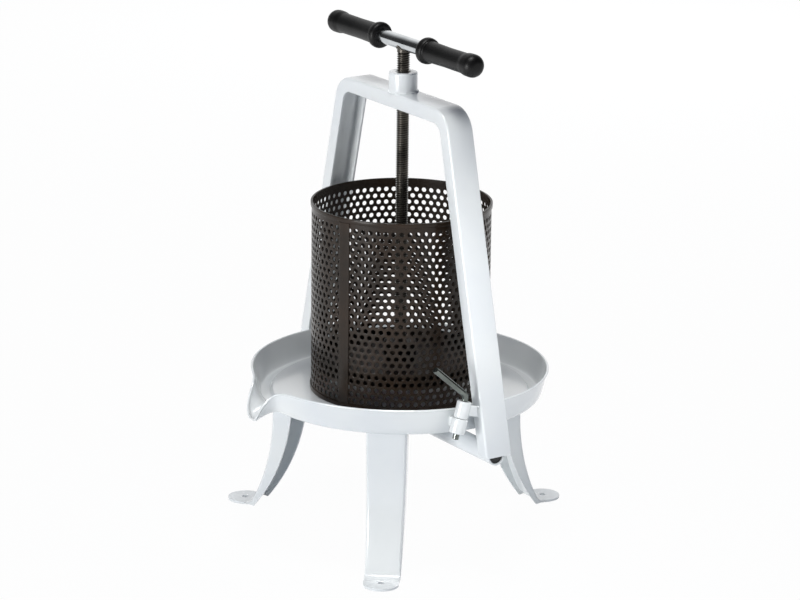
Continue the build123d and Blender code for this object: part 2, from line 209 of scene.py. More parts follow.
def crosswise(height: float) -> Matrix:
    """Lays a lathed shape's axis along the yoke at a height."""
    return TURNED @ Matrix.Translation((0, 0, height)) @ Matrix.Rotation(radians(90), 4, "Y")


@dataclass
class Draft:
    """A mesh while it is drawn, in millimetres."""

    points: list[Vector] = field(default_factory=list)
    faces: list[tuple[int, ...]] = field(default_factory=list)

    def grid(self, rows: Rows, ring: bool = False, loop: bool = False) -> "Draft":
        """Adds a sheet of quads.

        Args:
            rows: rows of points, all of one length.
            ring: whether each row's end joins its start.
            loop: whether the last row joins the first.

        Returns:
            The draft itself.
        """
        first, width, count = len(self.points), len(rows[0]), len(rows)
        self.points += [Vector(p) for row in rows for p in row]
        for i in range(count if loop else count - 1):
            for j in range(width if ring else width - 1):
                a, b = first + i * width, first + (i + 1) % count * width
                k = (j + 1) % width
                self.faces.append((a + j, a + k, b + k, b + j))
        return self

    def bar(self, rows: Rows) -> "Draft":
        """Adds a closed bar.

        Args:
            rows: rings of points along it; the first and last get a flat face.

        Returns:
            The draft itself.
        """
        self.grid(rows, ring=True)
        for ring in (rows[0], rows[-1]):
            first = len(self.points)
            self.points += [Vector(p) for p in ring]
            self.faces.append(tuple(range(first, first + len(ring))))
        return self

    def lathe(self, corners: Sequence[Triple], sides: int, closed: bool = True, steps: int = 4) -> "Draft":
        """Turns a profile about the Z axis.

        Args:
            corners: each corner's radius, height and rounding.
            sides: how many steps go round.
            closed: whether the last corner joins the first.
            steps: how many pieces each rounding has.

        Returns:
            The draft itself.
        """
        outline = eased(corners, closed, steps)
        turns = [FULL * i / sides for i in range(sides)]
        return self.grid([[(r * cos(a), r * sin(a), z) for r, z in outline] for a in turns], closed, True)

    def tube(
        self, path: Sequence[Vector], radii: Sequence[float], sides: int, loop: bool = False
    ) -> "Draft":
        """Draws a round bar along a path.

        Args:
            path: the points of its middle line.
            radii: its radius at each of them.
            sides: how many faces go round.
            loop: whether the path's end joins its start.

        Returns:
            The draft itself.
        """
        rows = []
        last = len(path) - 1
        turns = [FULL * k / sides for k in range(sides)]
        for i, (spot, radius) in enumerate(zip(path, radii)):
            before = path[i - 1] if loop or i else spot
            after = path[(i + 1) % (last + 1)] if loop or i < last else spot
            along = (after - before).normalized()
            across = along.cross(ASKEW).normalized()
            out = across.cross(along)
            rows.append([spot + (across * cos(t) + out * sin(t)) * radius for t in turns])
        return self.grid(rows, True, True) if loop else self.bar(rows)

    def piece(self, name: str, place: Matrix = LEVEL, wall: float = 0.0, sharp: float = 35.0) -> Piece:
        """Makes the object.

        Args:
            name: the object's name.
            place: where the draft stands in the frame, in millimetres.
            wall: thickness of a sheet, behind its faces; a closed form has none.
            sharp: the angle at which an edge stays sharp.

        Returns:
            The object, at the origin, in metres.
        """
        build = bmesh.new()
        spots = [build.verts.new(place @ p * MM) for p in self.points]
        for face in self.faces:
            if len(set(face)) > 2:
                build.faces.new([spots[i] for i in face])
        bmesh.ops.remove_doubles(build, verts=build.verts, dist=SAME)
        bmesh.ops.dissolve_degenerate(build, edges=build.edges, dist=SLIVER)
        if not wall:
            bmesh.ops.recalc_face_normals(build, faces=build.faces)
        mesh = bpy.data.meshes.new(name)
        build.to_mesh(mesh)
        build.free()
        made = bpy.data.objects.new(name, mesh)
        bpy.context.scene.collection.objects.link(made)
        if wall:
            thicken(made, wall)
        smooth(made, sharp)
        return made


@dataclass(frozen=True)
class Finish:
    """An evenly grained surface, and what every other finish starts from.

    Attributes:
        name: the material's name.
        slot: the record's slot that it stands for; not used.
        colour: the main colour.
        shade: the second colour, in faint clouds.
        roughness: the middle of its roughness.
        grain: size of its surface grain, in millimetres.
        relief: height of that grain, in millimetres.
        cloud: size of the clouds, in millimetres.
        metallic: one for bare metal.
        coat: weight of a clear, smooth top layer.
        mirror: how strongly the surface mirrors, half for plain paint.
        edge: radius to which its edges look rounded, in millimetres.
        uneven: the least and the most of its roughness, as shares of the middle.
        ramp: where the clouds' noise turns from shade to colour.
    """

    name: str
    slot: Slot
    colour: str
    shade: str
    roughness: float
    grain: float
    relief: float
    cloud: float
    metallic: float = 0.0
    coat: float = 0.0
    mirror: float = 0.5
    edge: float = 0.0
    uneven: Pair = (0.8, 1.2)
    ramp: Pair = (0.35, 0.68)

    def pattern(self, tree: Tree, where: Socket) -> Socket:
        """Draws the surface's pattern, from nought to one: an even grain."""
        grain = {"Vector": where, "Scale": 1 / (self.grain * MM), "Detail": 4.0}
        return add(tree, NOISE, grain).outputs[0]

    def build(self) -> bpy.types.Material:
        """Makes the material: clouds of two colours, with gloss and relief that follow the pattern.

        Returns:
            The material.
        """
        material = bpy.data.materials.new(self.name)
        tree = emptied(material)
        where = add(tree, "ShaderNodeTexCoord").outputs["Object"]
        pattern = self.pattern(tree, where)
        clouds = add(tree, NOISE, {"Vector": where, "Scale": 1 / (self.cloud * MM), "Detail": 3.0})
        colour = add(tree, "ShaderNodeValToRGB", [clouds])
        for stop, place, tint in zip(colour.color_ramp.elements, self.ramp, (self.shade, self.colour)):
            stop.position, stop.color = place, linear(tint)
        least, most = (share * self.roughness for share in self.uneven)
        gloss = add(tree, "ShaderNodeMapRange", {0: pattern, 3: least, 4: most})
        relief = {"Height": pattern, "Strength": 1.0, "Distance": self.relief * MM}
        if self.edge:
            relief["Normal"] = add(tree, "ShaderNodeBevel", {"Radius": self.edge * MM}, samples=6)
        skin = {"Base Color": colour, "Roughness": gloss, "Normal": add(tree, "ShaderNodeBump", relief)}
        skin |= {"Metallic": self.metallic, "Specular IOR Level": self.mirror}
        skin |= {"Coat Weight": self.coat, "Coat Roughness": 0.1}
        shader = add(tree, "ShaderNodeBsdfPrincipled", skin)
        add(tree, "ShaderNodeOutputMaterial", {"Surface": shader})
        return material


@dataclass(frozen=True)
class PowderCoat(Finish):
    """Powder coat baked on pressed steel: a gloss that wavers in long, shallow orange peel.

    Attributes:
        swell: size of the broad swells, in millimetres.
        heave: how much higher the swells are than the peel.
    """

    swell: float = 16.0
    heave: float = 4.0

    def pattern(self, tree: Tree, where: Socket) -> Socket:
        """Lays a peel on broad swells, coarser than the real 1 mm so that it shows.

        Args:
            tree: the material's tree.
            where: the piece's own coordinates.

        Returns:
            The pattern.
        """
        peel, swells = (
            add(tree, NOISE, {"Vector": where, "Scale": 1 / (size * MM), "Detail": 2.0})
            for size in (self.grain, self.swell)
        )
        return add(tree, MATH, (swells, self.heave, peel), operation="MULTIPLY_ADD").outputs[0]


@dataclass(frozen=True)
class DrawnMetal(Finish):
    """Bar or sheet with the fine lengthwise lines that drawing, turning or plating leaves.

    Attributes:
        lay: how far the grain is pulled out along X, Y and Z.
    """

    lay: Triple = (1.0, 1.0, 1.0)

    def pattern(self, tree: Tree, where: Socket) -> Socket:
        """Stretches the grain along the lay.

        Args:
            tree: the material's tree.
            where: the piece's own coordinates.

        Returns:
            The pattern.
        """
        turn = (0.0, 0.0, -radians(YOKE_TURN))
        pulled = {"Vector": where, "Rotation": turn, "Scale": tuple(1 / s for s in self.lay)}
        along = add(tree, "ShaderNodeMapping", pulled)
        grain = {"Vector": along, "Scale": 1 / (self.grain * MM), "Detail": 3.0}
        return add(tree, NOISE, grain).outputs[0]


@dataclass(frozen=True)
class TurnedFace(Finish):
    """Steel faced on a lathe: fine rings about the screw axis that spread the highlight into a fan."""

    def pattern(self, tree: Tree, where: Socket) -> Socket:
        """Draws rings one grain apart, a little uneven; at a scale of one the node's are pi/10 apart."""
        rings = {"Vector": where, "Scale": pi / (10 * self.grain * MM), "Distortion": 0.6, "Detail": 2.0}
        return add(tree, "ShaderNodeTexWave", rings, wave_type="RINGS", rings_direction="Z").outputs[1]


# Polyester powder coat, baked white: cool, glossy and even, with a shallow orange peel.
WHITE = PowderCoat("white_powder_coat", Slot.WHITE, "#ebeeed", "#e3e7e9", 0.2, 2.2, 0.012, 96, coat=0.6)
# Baked enamel on perforated sheet: satin brown-black, with a glint on the rounded edge of each hole.
BROWN = Finish(
    "brown_baked_enamel", Slot.BROWN, "#2e2218", "#1f1811", 0.25, 1.4, 0.03, 42, mirror=0.3, edge=1.4
)
# Black-oxide rolled thread, oiled: near black with brown glints on the crests.
DARK = DrawnMetal(
    "black_oxide_thread", Slot.DARK, "#6b6761", "#3d3b37", 0.3, 1.0, 0.01, 25, 1.0, lay=(1, 1, 0.4)
)
# Bright zinc on drawn round bar: a mirror band softened by fine lengthwise lines.
ZINC = DrawnMetal(
    "bright_zinc_bar", Slot.ZINC, "#d9dcde", "#c5c9cc", 0.16, 0.8, 0.003, 20, 1.0, lay=(30, 1, 1)
)
# The same zinc on the short bent pin, in a darker grey and a little rougher than the bar.
PIN_ZINC = DrawnMetal(
    "zinc_pin", Slot.ZINC, "#7b817d", "#636865", 0.2, 0.8, 0.004, 20, 1.0, lay=(1, 12, 4)
)
# Mild steel, faced and oiled: dull brown-grey with turning rings.
STEEL = TurnedFace("faced_steel", Slot.STEEL, "#2c2621", "#1f1b17", 0.42, 1.6, 0.01, 32, 1.0)
# Moulded rubber: soft black with a fine matt skin.
RUBBER = Finish("moulded_rubber", Slot.RUBBER, "#0a0a0b", "#070708", 0.44, 0.9, 0.03, 27, mirror=0.3)
# Moulded polythene plug: black, smoother than the rubber.
PLASTIC = Finish("moulded_plug", Slot.PLASTIC, "#101112", "#0b0c0d", 0.38, 0.7, 0.01, 21)
FINISHES: tuple[Finish, ...] = (WHITE, BROWN, DARK, ZINC, PIN_ZINC, STEEL, RUBBER, PLASTIC)
MATERIALS: dict[Finish, bpy.types.Material] = {}


def fit(piece: Piece, body: Body, finish: Finish, *nodes: str) -> None:
    """Dresses a piece and sets it on its body.

    Args:
        piece: the finished object.
        body: what it rides on.
        finish: its finish.
        nodes: the CAD nodes that it stands for.
    """
    piece.data.materials.clear()
    piece.data.materials.append(MATERIALS[finish])
    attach(piece, body.value)
    if nodes:
        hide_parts(*nodes)
    piece.data.calc_loop_triangles()
    LOG.info("%s on %s: %d triangles", piece.name, body.value, len(piece.data.loop_triangles))


class ShapeTree:
    """A Geometry Nodes tree while it is built: sizes go in by name, one geometry comes out."""

    def __init__(self, name: str) -> None:
        """Starts an empty tree with a geometry in and out.

        Args:
            name: the tree's name.
        """
        self.tree = bpy.data.node_groups.new(name, "GeometryNodeTree")
        for way in ("INPUT", "OUTPUT"):
            self.tree.interface.new_socket("Geometry", in_out=way, socket_type="NodeSocketGeometry")
        self.given = add(self.tree, "NodeGroupInput")

    def sizes(self, *names: str, kind: str = "Float") -> list[Socket]:
        """Adds named inputs.

        Args:
            names: their names.
            kind: their type.

        Returns:
            The sockets that give them.
        """
        for name in names:
            self.tree.interface.new_socket(name, in_out="INPUT", socket_type="NodeSocket" + kind)
        return [self.given.outputs[name] for name in names]

    def roll(
        self, flat: Node, radius: Node | Socket, angle: Node, height: Node | Socket, joint: float
    ) -> None:
        """Rolls a flat sheet about the Z axis, closes its joint and ends the tree.

        Args:
            flat: the sheet.
            radius: each point's distance from the axis.
            angle: how far round it goes.
            height: how high it stands.
            joint: metres within which the joint's points are one.
        """
        arm = add(self.tree, JOIN_XYZ, {"X": radius, "Z": height})
        turned = {"Vector": arm, "Axis": UP, "Angle": angle}
        place = add(self.tree, "ShaderNodeVectorRotate", turned, rotation_type="AXIS_ANGLE")
        drum = add(self.tree, MOVE, {"Geometry": flat, "Position": place})
        self.finish(add(self.tree, "GeometryNodeMergeByDistance", {"Geometry": drum, "Distance": joint}))

    def finish(self, shape: Node) -> None:
        """Realizes the shape, gives it its material and sends it out.

        Args:
            shape: the shape.
        """
        paint = self.sizes("Finish", kind="Material")[0]
        real = add(self.tree, "GeometryNodeRealizeInstances", [shape])
        painted = add(self.tree, "GeometryNodeSetMaterial", {0: real, "Material": paint})
        add(self.tree, "NodeGroupOutput", [painted])

    def run(
        self, name: str, finish: Finish, sizes: dict[str, float], source: bpy.types.Mesh | None = None
    ) -> Piece:
        """Runs the tree once.

        Args:
            name: the object's name.
            finish: what covers it.
            sizes: a value for each named input; those that aren't whole numbers are millimetres.
            source: the mesh that goes in, if any.

        Returns:
            An object with the plain mesh that came out.
        """
        if source is None:
            source = bpy.data.meshes.new(name + "_start")
        made = bpy.data.objects.new(name, source)
        bpy.context.scene.collection.objects.link(made)
        nodes = made.modifiers.new(name, "NODES")
        nodes.node_group = self.tree
        values = {key: size * MM if isinstance(size, float) else size for key, size in sizes.items()}
        values["Finish"] = MATERIALS[finish]
        for socket in self.tree.interface.items_tree:
            if socket.in_out == "INPUT" and socket.name in values:
                nodes[socket.identifier] = values[socket.name]
        settle(made)
        return made


@dataclass
class WeldBead:
    """A run of overlapping weld ripples along each of several paths.

    Attributes:
        width: across the bead.
        step: from ripple to ripple.
        seed: of their uneven sizes.
        overlap: a ripple's length in steps.
        uneven: the narrowest and the widest ripple, as shares of the width.
    """

    width: float = 2.6
    step: float = 1.3
    seed: int = 7
    overlap: float = 1.9
    uneven: Pair = (0.8, 1.15)

    def tree(self) -> ShapeTree:
        """Builds the tree: points along the paths, a small stretched ball on each.

        Returns:
            The tree.
        """
        shape = ShapeTree("weld_bead")
        tree = shape.tree
        width, step = shape.sizes("Width", "Step")
        seed = shape.sizes("Seed", kind="Int")[0]
        path = add(tree, "GeometryNodeMeshToCurve", {"Mesh": shape.given.outputs["Geometry"]})
        even = add(tree, "GeometryNodeResampleCurve", {"Curve": path, "Length": step}, mode="LENGTH")
        ball = add(tree, "GeometryNodeMeshUVSphere", {"Segments": 8, "Rings": 5, "Radius": 0.5})
        round_ball = add(tree, "GeometryNodeSetShadeSmooth", {"Geometry": ball})
        tangent = add(tree, "GeometryNodeInputTangent")
        aim = add(tree, "FunctionNodeAlignRotationToVector", {"Vector": tangent}, axis="X")
        draw = {2: self.uneven[0], 3: self.uneven[1], "Seed": seed}
        share = add(tree, "FunctionNodeRandomValue", draw).outputs[1]
        across = add(tree, MATH, (share, width), operation="MULTIPLY")
        along = add(tree, MATH, (step, self.overlap), operation="MULTIPLY")
        scale = add(tree, JOIN_XYZ, (along, across, across))
        places = {"Points": even, "Instance": round_ball, "Rotation": aim, "Scale": scale}
        shape.finish(add(tree, "GeometryNodeInstanceOnPoints", places))
        return shape

    def build(self, name: str, paths: Sequence[Sequence[Vector]], finish: Finish) -> Piece:
        """Lays the bead.

        Args:
            name: the object's name.
            paths: points of each path in millimetres.
            finish: what covers it.

        Returns:
            The object.
        """
        lines = bpy.data.meshes.new(name + "_paths")
        spots: list[Vector] = []
        edges: list[tuple[int, int]] = []
        for path in paths:
            edges += [(i, i + 1) for i in range(len(spots), len(spots) + len(path) - 1)]
            spots += [p * MM for p in path]
        lines.from_pydata(spots, edges, [])
        sizes = {"Width": self.width, "Step": self.step, "Seed": self.seed}
        return self.tree().run(name, finish, sizes, lines)


@dataclass
class DripTray:
    """Pressed round tray: raised floor, gutter, flared wall with a curled rim, and a pulled spout."""

    rim_height: float = 191.0
    rim_radius: float = 168.2
    lip_inset: float = 3.0
    curl: float = 1.3
    curl_gap: float = 0.2
    depth: float = 31.0
    flare: float = 7.5
    sheet: float = 1.5
    corner: float = 11.0
    floor_rings: Quad = (0.0, 48.0, 96.0, 132.0)
    platform_radius: float = 143.0
    rise: float = 4.0
    step: float = 4.0
    margin: float = 2.0
    spout_turn: float = -3.2
    spout_reach: float = 16.0
    spout_gap: float = 0.3
    spout_drop: float = 41.0
    spout_half: float = 5.8
    spout_power: float = 3.7
    spout_angle: float = 20.0
    step_points: int = 13
    wall_points: int = 36
    samples: int = 1200
    spout_points: int = 161
    round_points: int = 180
    curl_sides: int = 10

    @property
    def gutter(self) -> float:
        """Height of the gutter's inside."""
        return self.rim_height - self.depth + self.sheet

    def basin(self, radius: np.ndarray) -> np.ndarray:
        """Follows the inside of the round tray.

        Args:
            radius: distances from the screw axis.

        Returns:
            The height at each.
        """
        share = np.clip((radius - self.platform_radius) / self.step, 0, 1)
        floor = self.gutter + self.rise * (1 - share * share * (3 - 2 * share))
        lip = self.rim_radius - self.lip_inset
        wall = self.rim_height + (radius - lip) * self.depth / self.flare
        blend = np.maximum(self.corner - np.abs(floor - wall), 0)
        return np.maximum(floor, wall) + blend**2 / (4 * self.corner)

    def pull(self, turn: float) -> float:
        """Tells how far the lip is pulled down.

        Args:
            turn: angle from the spout's middle line, in radians.

        Returns:
            A share from nought to one.
        """
        bell = 1 / (1 + (abs(turn) / radians(self.spout_half)) ** self.spout_power)
        tail = 1 / (1 + (self.spout_angle / self.spout_half) ** self.spout_power)
        return max(0.0, (bell - tail) / (1 - tail))

    def line(self, turn: float) -> np.ndarray:
        """Follows the inside of the tray from its raised floor out to its brim.

        Args:
            turn: angle from the spout's middle line, in radians.

        Returns:
            Points of radius and height.
        """
        start = self.platform_radius + self.step + self.margin
        step = np.linspace(self.platform_radius - self.margin, start, self.step_points)[:-1]
        radius = np.linspace(start, self.rim_radius, self.samples)
        height = self.basin(radius)
        end = int(np.argmax(height >= self.rim_height - self.curl)) + 1
        radius, height = radius[:end], height[:end]
        gone = np.concatenate([[0], np.cumsum(np.hypot(np.diff(radius), np.diff(height)))])
        even = np.linspace(0, gone[-1], self.wall_points)
        share = np.linspace(0, 1, self.wall_points)
        low = height[0] - (height[0] - self.rim_height + self.spout_drop - self.sheet) * share**2
        tip = self.rim_radius + self.spout_reach - 2 * self.curl - self.spout_gap
        far = start + (tip - start) * share
        drop = self.pull(turn)
        out = 1 - (1 - drop) ** 2
        wall = np.interp(even, gone, radius) * (1 - out) + far * out
        rise = np.interp(even, gone, height) * (1 - drop) + low * drop
        return np.concatenate([np.stack([step, self.basin(step)], 1), np.stack([wall, rise], 1)])

    def build(self) -> None:
        """Makes the sheet and its curled rim."""
        near = np.linspace(-self.spout_angle, self.spout_angle, self.spout_points)
        far = np.linspace(self.spout_angle, 360 - self.spout_angle, self.round_points)[1:-1]
        turns = np.radians(np.concatenate([near, far]))
        turns = np.where(turns > pi, turns - FULL, turns)
        floor = [(r, self.gutter + self.rise) for r in self.floor_rings]
        rows, lip = [], []
        for turn in turns:
            angle = turn + radians(self.spout_turn)
            out = Vector((sin(angle), -cos(angle), 0))
            rows.append([out * r + UP * z for r, z in (*floor, *self.line(turn))])
            lip.append(rows[-1][-1] + out * (self.curl + self.curl_gap))
        sheet = Draft().grid(rows, loop=True).piece("drip_tray_sheet", wall=self.sheet, sharp=50)
        fit(sheet, Body.STAND, WHITE, "drip_tray")
        curl = Draft().tube(lip, [self.curl] * len(lip), self.curl_sides, loop=True)
        fit(curl.piece("drip_tray_curl"), Body.STAND, WHITE)


@dataclass
class Leg:
    """Pressed channel leg: bowed web, two flanges that run out at the heel, round drilled toe."""

    node: str
    azimuth: float
    sheet: float = 2.5
    top_radius: float = 150.0
    top_height: float = 160.0
    top_width: float = 45.0
    foot_width: float = 39.5
    bow_start: float = 116.0
    bow: float = 235.0
    toe_bend: float = 10.0
    flange_top: float = 24.0
    flange_middle: float = 18.0
    flange_points: int = 6
    tuck: float = 4.0
    tuck_radius: float = 147.0
    heel: float = 11.0
    foot_circle: float = 195.0
    hole: float = 3.5
    toe_rings: tuple[float, ...] = (0.0, 0.12, 0.5, 0.85, 1.0)
    edge: float = 3.2
    edge_fade: Pair = (0.8, 4.0)
    edge_least: float = 0.3
    weld_seat: float = 0.4

    @property
    def place(self) -> Matrix:
        """Turns the leg to its azimuth."""
        return Matrix.Rotation(radians(self.azimuth), 4, "Z")

    def half_width(self, height: float) -> float:
        """Half of the leg's width at a height."""
        return (self.foot_width + (self.top_width - self.foot_width) * height / self.top_height) / 2

    def web(self) -> list[Quad]:
        """Follows the web's outside from the tray to the toe.

        Returns:
            Each point's radius and height, how far it has turned, and its share of the bowed part.
        """
        swing = asin((self.bow_start - self.sheet - self.toe_bend) / (self.bow - self.toe_bend))
        far = self.top_radius + self.bow
        near = far - (self.bow - self.toe_bend) * cos(swing)
        length = self.bow * swing + self.toe_bend * (pi / 2 - swing)
        straight = np.linspace(self.top_height, self.bow_start, 5)[:-1]
        line = [(self.top_radius, z, 0.0, 0.0) for z in straight]
        for turn in np.linspace(0, swing, 25):
            spot = far - self.bow * cos(turn), self.bow_start - self.bow * sin(turn)
            line.append((*spot, turn, self.bow * turn / length))
        for turn in np.linspace(swing, pi / 2, 11)[1:]:
            spot = near - self.toe_bend * cos(turn), self.sheet + self.toe_bend * (1 - sin(turn))
            line.append((*spot, turn, (self.bow * swing + self.toe_bend * (turn - swing)) / length))
        return line

    def free_edge(self, share: float, web_end: float) -> Pair:
        """Finds a point of the flange's free edge.

        Args:
            share: how far down the bowed part, from nought to one.
            web_end: radius where the toe begins.

        Returns:
            Its radius and height.
        """
        start = Vector((self.top_radius - self.flange_top, self.bow_start))
        chord = Vector((web_end - self.heel, 0.0)) - start
        sag = Vector((chord.y, -chord.x)).normalized() * self.flange_middle / 2
        spot = start + chord * share + sag * 4 * share * (1 - share)
        return spot.x, spot.y

    def section(self, spot: Quad, edge: Pair) -> list[Vector]:
        """Draws one line across the leg, from one flange's free edge to the other's.

        Args:
            spot: a point of the web.
            edge: the free edge that belongs to it.

        Returns:
            The points.
        """
        radius, height, turn, share = spot
        after, rate = self.edge_fade
        ease = self.edge * (1 - max(0.0, share - after) * rate) + self.edge_least
        inward = Vector((-cos(turn), 0, -sin(turn)))
        middle = Vector((radius, 0, height))
        half: list[Vector] = []
        width = self.half_width(height)
        start = middle + inward * ease
        for k in np.linspace(1, 0, self.flange_points + 1)[:-1]:
            point = start.lerp(Vector((edge[0], 0, edge[1])), k)
            point.y = self.half_width(point.z)
            half.append(point)
        for turn_in in np.linspace(pi / 2, 0, 6):
            point = start - inward * ease * cos(turn_in)
            point.y = width - ease + ease * sin(turn_in)
            half.append(point)
        half.append(middle + Vector((0, (width - ease) / 2, 0)))
        mirrored = [Vector((p.x, -p.y, p.z)) for p in reversed(half)]
        return [*half, middle, *mirrored]

    def toe(self, back: Sequence[Vector]) -> list[list[Vector]]:
        """Draws the flat toe as rings from its outline in to its hole.

        Args:
            back: the end of the web, from one side to the other.

        Returns:
            Rows of points, outermost first.
        """
        half = self.foot_width / 2
        centre = Vector((self.foot_circle, 0, self.sheet))
        run = np.linspace(back[0].x, self.foot_circle, 5)
        right = [Vector((x, -half, self.sheet)) for x in run[1:-1]]
        left = [Vector((x, half, self.sheet)) for x in run[-2:0:-1]]
        arc = [centre + Vector((cos(a), sin(a), 0)) * half for a in np.linspace(-pi / 2, pi / 2, 25)]
        rows = []
        for share in self.toe_rings:
            row = []
            for point in (*back, *right, *arc, *left):
                arm = point - centre
                arm.z = 0
                row.append(point.lerp(centre + arm.normalized() * self.hole, share))
                if share:
                    row[-1].z = self.sheet
            rows.append(row)
        return rows

    def build(self) -> None:
        """Makes the leg, its flanges tucked up to the tray's raised floor."""
        web = self.web()
        rows = []
        for spot in web:
            edge = self.free_edge(spot[3], web[-1][0])
            if spot[1] >= self.bow_start:
                edge = self.top_radius - self.flange_top, spot[1]
            rows.append(self.section(spot, edge))
        for point in rows[0]:
            point.z += min(self.tuck, max(0.0, self.tuck_radius - point.x))
        toe = self.toe(rows[-1][self.flange_points : -self.flange_points])
        draft = Draft().grid(rows).grid(toe, ring=True)
        fit(draft.piece(self.node + "_channel", self.place, wall=self.sheet), Body.STAND, WHITE, self.node)

    def weld(self) -> list[Vector]:
        """Draws the bead where the web meets the tray.

        Returns:
            Its path.
        """
        half = self.top_width / 2 - self.edge
        out, high = self.top_radius + self.weld_seat, self.top_height - self.weld_seat
        return [self.place @ Vector((out, y, high)) for y in np.linspace(-half, half, 9)]


@dataclass
class Yoke:
    """Channel bent to a flared arch, with the screw nut, the cross tube below and its plugs and lugs."""

    rim_height: float = 191.0
    at_rim: float = 185.49
    top: float = 506.0
    foot: float = 139.0
    flare: float = 13.8
    bend: float = 31.0
    width: float = 33.0
    depth: float = 16.5
    wall: float = 3.0
    edge: float = 2.6
    inner_edge: float = 2.0
    lip: float = 0.8
    nut_radius: float = 16.0
    nut_bore: float = 7.25
    nut_top: float = 528.0
    nut_bottom: float = 492.0
    nut_sink: float = 1.6
    nut_seat: float = 0.2
    nut_weld_rise: float = 0.3
    tube_axis: float = 138.0
    tube_radius: float = 10.65
    tube_bore: float = 8.65
    plug: float = 12.0
    plug_inset: float = 1.0
    plug_rim: float = 2.4
    plug_dish: Pair = (0.5, 0.2)
    lug_spacing: float = 60.0
    lug_thickness: float = 6.0
    lug_half_width: float = 15.65
    lug_top: float = 164.0
    lug_chamfer: float = 0.6
    lug_flat: float = 0.2
    lug_weld_drop: float = 0.4

    def reach(self, height: float) -> float:
        """Outside of a yoke leg from the screw axis at a height."""
        return self.at_rim + (self.rim_height - height) * tan(radians(self.flare))

    def stations(self) -> list[tuple[Vector, Vector]]:
        """Follows the arch's outer line from foot to foot.

        Returns:
            Its points, and the outward direction at each.
        """
        lean = radians(self.flare)
        height = self.top - self.bend + self.bend * sin(lean)
        centre = Vector((self.reach(height) - self.bend * cos(lean), 0, self.top - self.bend))
        half = [(Vector((self.reach(self.foot), 0, self.foot)), Vector((cos(lean), 0, sin(lean))))]
        for turn in np.linspace(lean, pi / 2, 15):
            out = Vector((cos(turn), 0, sin(turn)))
            half.append((centre + out * self.bend, out))
        return half + [(Vector((-p.x, 0, p.z)), Vector((-n.x, 0, n.z))) for p, n in reversed(half)]

    def arch(self) -> Piece:
        """Sweeps the channel's section along the arch, its feet cut level.

        Returns:
            The object.
        """
        half, inner = self.width / 2, self.width / 2 - self.wall
        outer, deep, thick = self.edge, self.depth, self.wall
        corners = [
            (-half, deep, self.lip), (-half, 0, outer), (half, 0, outer), (half, deep, self.lip),
            (inner, deep, self.lip), (inner, thick, self.inner_edge),
            (-inner, thick, self.inner_edge), (-inner, deep, self.lip),
        ]
        outline = eased(corners, closed=True)
        rows = [[p + Vector((0, y, 0)) - n * d for y, d in outline] for p, n in self.stations()]
        for row, sign in ((rows[0], 1), (rows[-1], -1)):
            for point in row:
                drop = point.z - self.foot
                point += Vector((sign * drop * tan(radians(self.flare)), 0, -drop))
        return Draft().bar(rows).piece("yoke_channel", TURNED)

    def nut(self) -> Piece:
        """Turns the round nut with an eased top edge and a countersunk mouth.

        Returns:
            The object.
        """
        corners = [
            (self.nut_bore, self.nut_bottom, 0.5), (self.nut_radius, self.nut_bottom, 1.0),
            (self.nut_radius, self.nut_top, 1.6), (self.nut_bore + self.nut_sink, self.nut_top, 0.4),
            (self.nut_bore, self.nut_top - self.nut_sink, 0.4),
        ]
        return Draft().lathe(corners, sides=64).piece("screw_nut_turned", TURNED)

    def nut_weld(self) -> list[Vector]:
        """Draws the bead round the nut, which follows the channel's rounded edges.

        Returns:
            Its path.
        """
        path = []
        radius = self.nut_radius + self.nut_seat
        for turn in np.linspace(0, FULL, 49):
            x, y = radius * cos(turn), radius * sin(turn)
            over = max(0.0, abs(y) - (self.width / 2 - self.edge))
            drop = self.edge - sqrt(self.edge**2 - min(over, self.edge) ** 2)
            path.append(TURNED @ Vector((x, y, self.top + self.nut_weld_rise - drop)))
        return path

    def lug(self, side: Side) -> Piece:
        """Cuts one lug: a plate with a round end that carries the cross tube.

        Args:
            side: where it stands.

        Returns:
            The object.
        """
        half, axis, bend = self.lug_half_width, self.tube_axis, self.lug_half_width - self.lug_flat
        low = axis - half
        top = self.lug_top
        outline = eased([(-half, top, 0), (-half, low, bend), (half, low, bend), (half, top, 0)], steps=12)
        small = 1 - self.lug_chamfer / half
        rows = []
        for across, shrink in ((-0.5, small), (-0.4, 1), (0.4, 1), (0.5, small)):
            x = side.value * self.lug_spacing / 2 + across * self.lug_thickness
            rows.append([(x, y * shrink, axis + (z - axis) * shrink) for y, z in outline])
        return Draft().bar(rows).piece(f"pivot_lug_{side.word}_plate", TURNED)

    def lug_welds(self) -> list[list[Vector]]:
        """Draws the beads that hold the lugs to the tray's underside.

        Returns:
            Their paths.
        """
        paths = []
        for side in Side:
            for face in (-0.5, 0.5):
                x = side.value * self.lug_spacing / 2 + face * self.lug_thickness
                ends = np.linspace(-self.lug_half_width, self.lug_half_width, 9)
                paths.append([TURNED @ Vector((x, y, self.lug_top - self.lug_weld_drop)) for y in ends])
        return paths

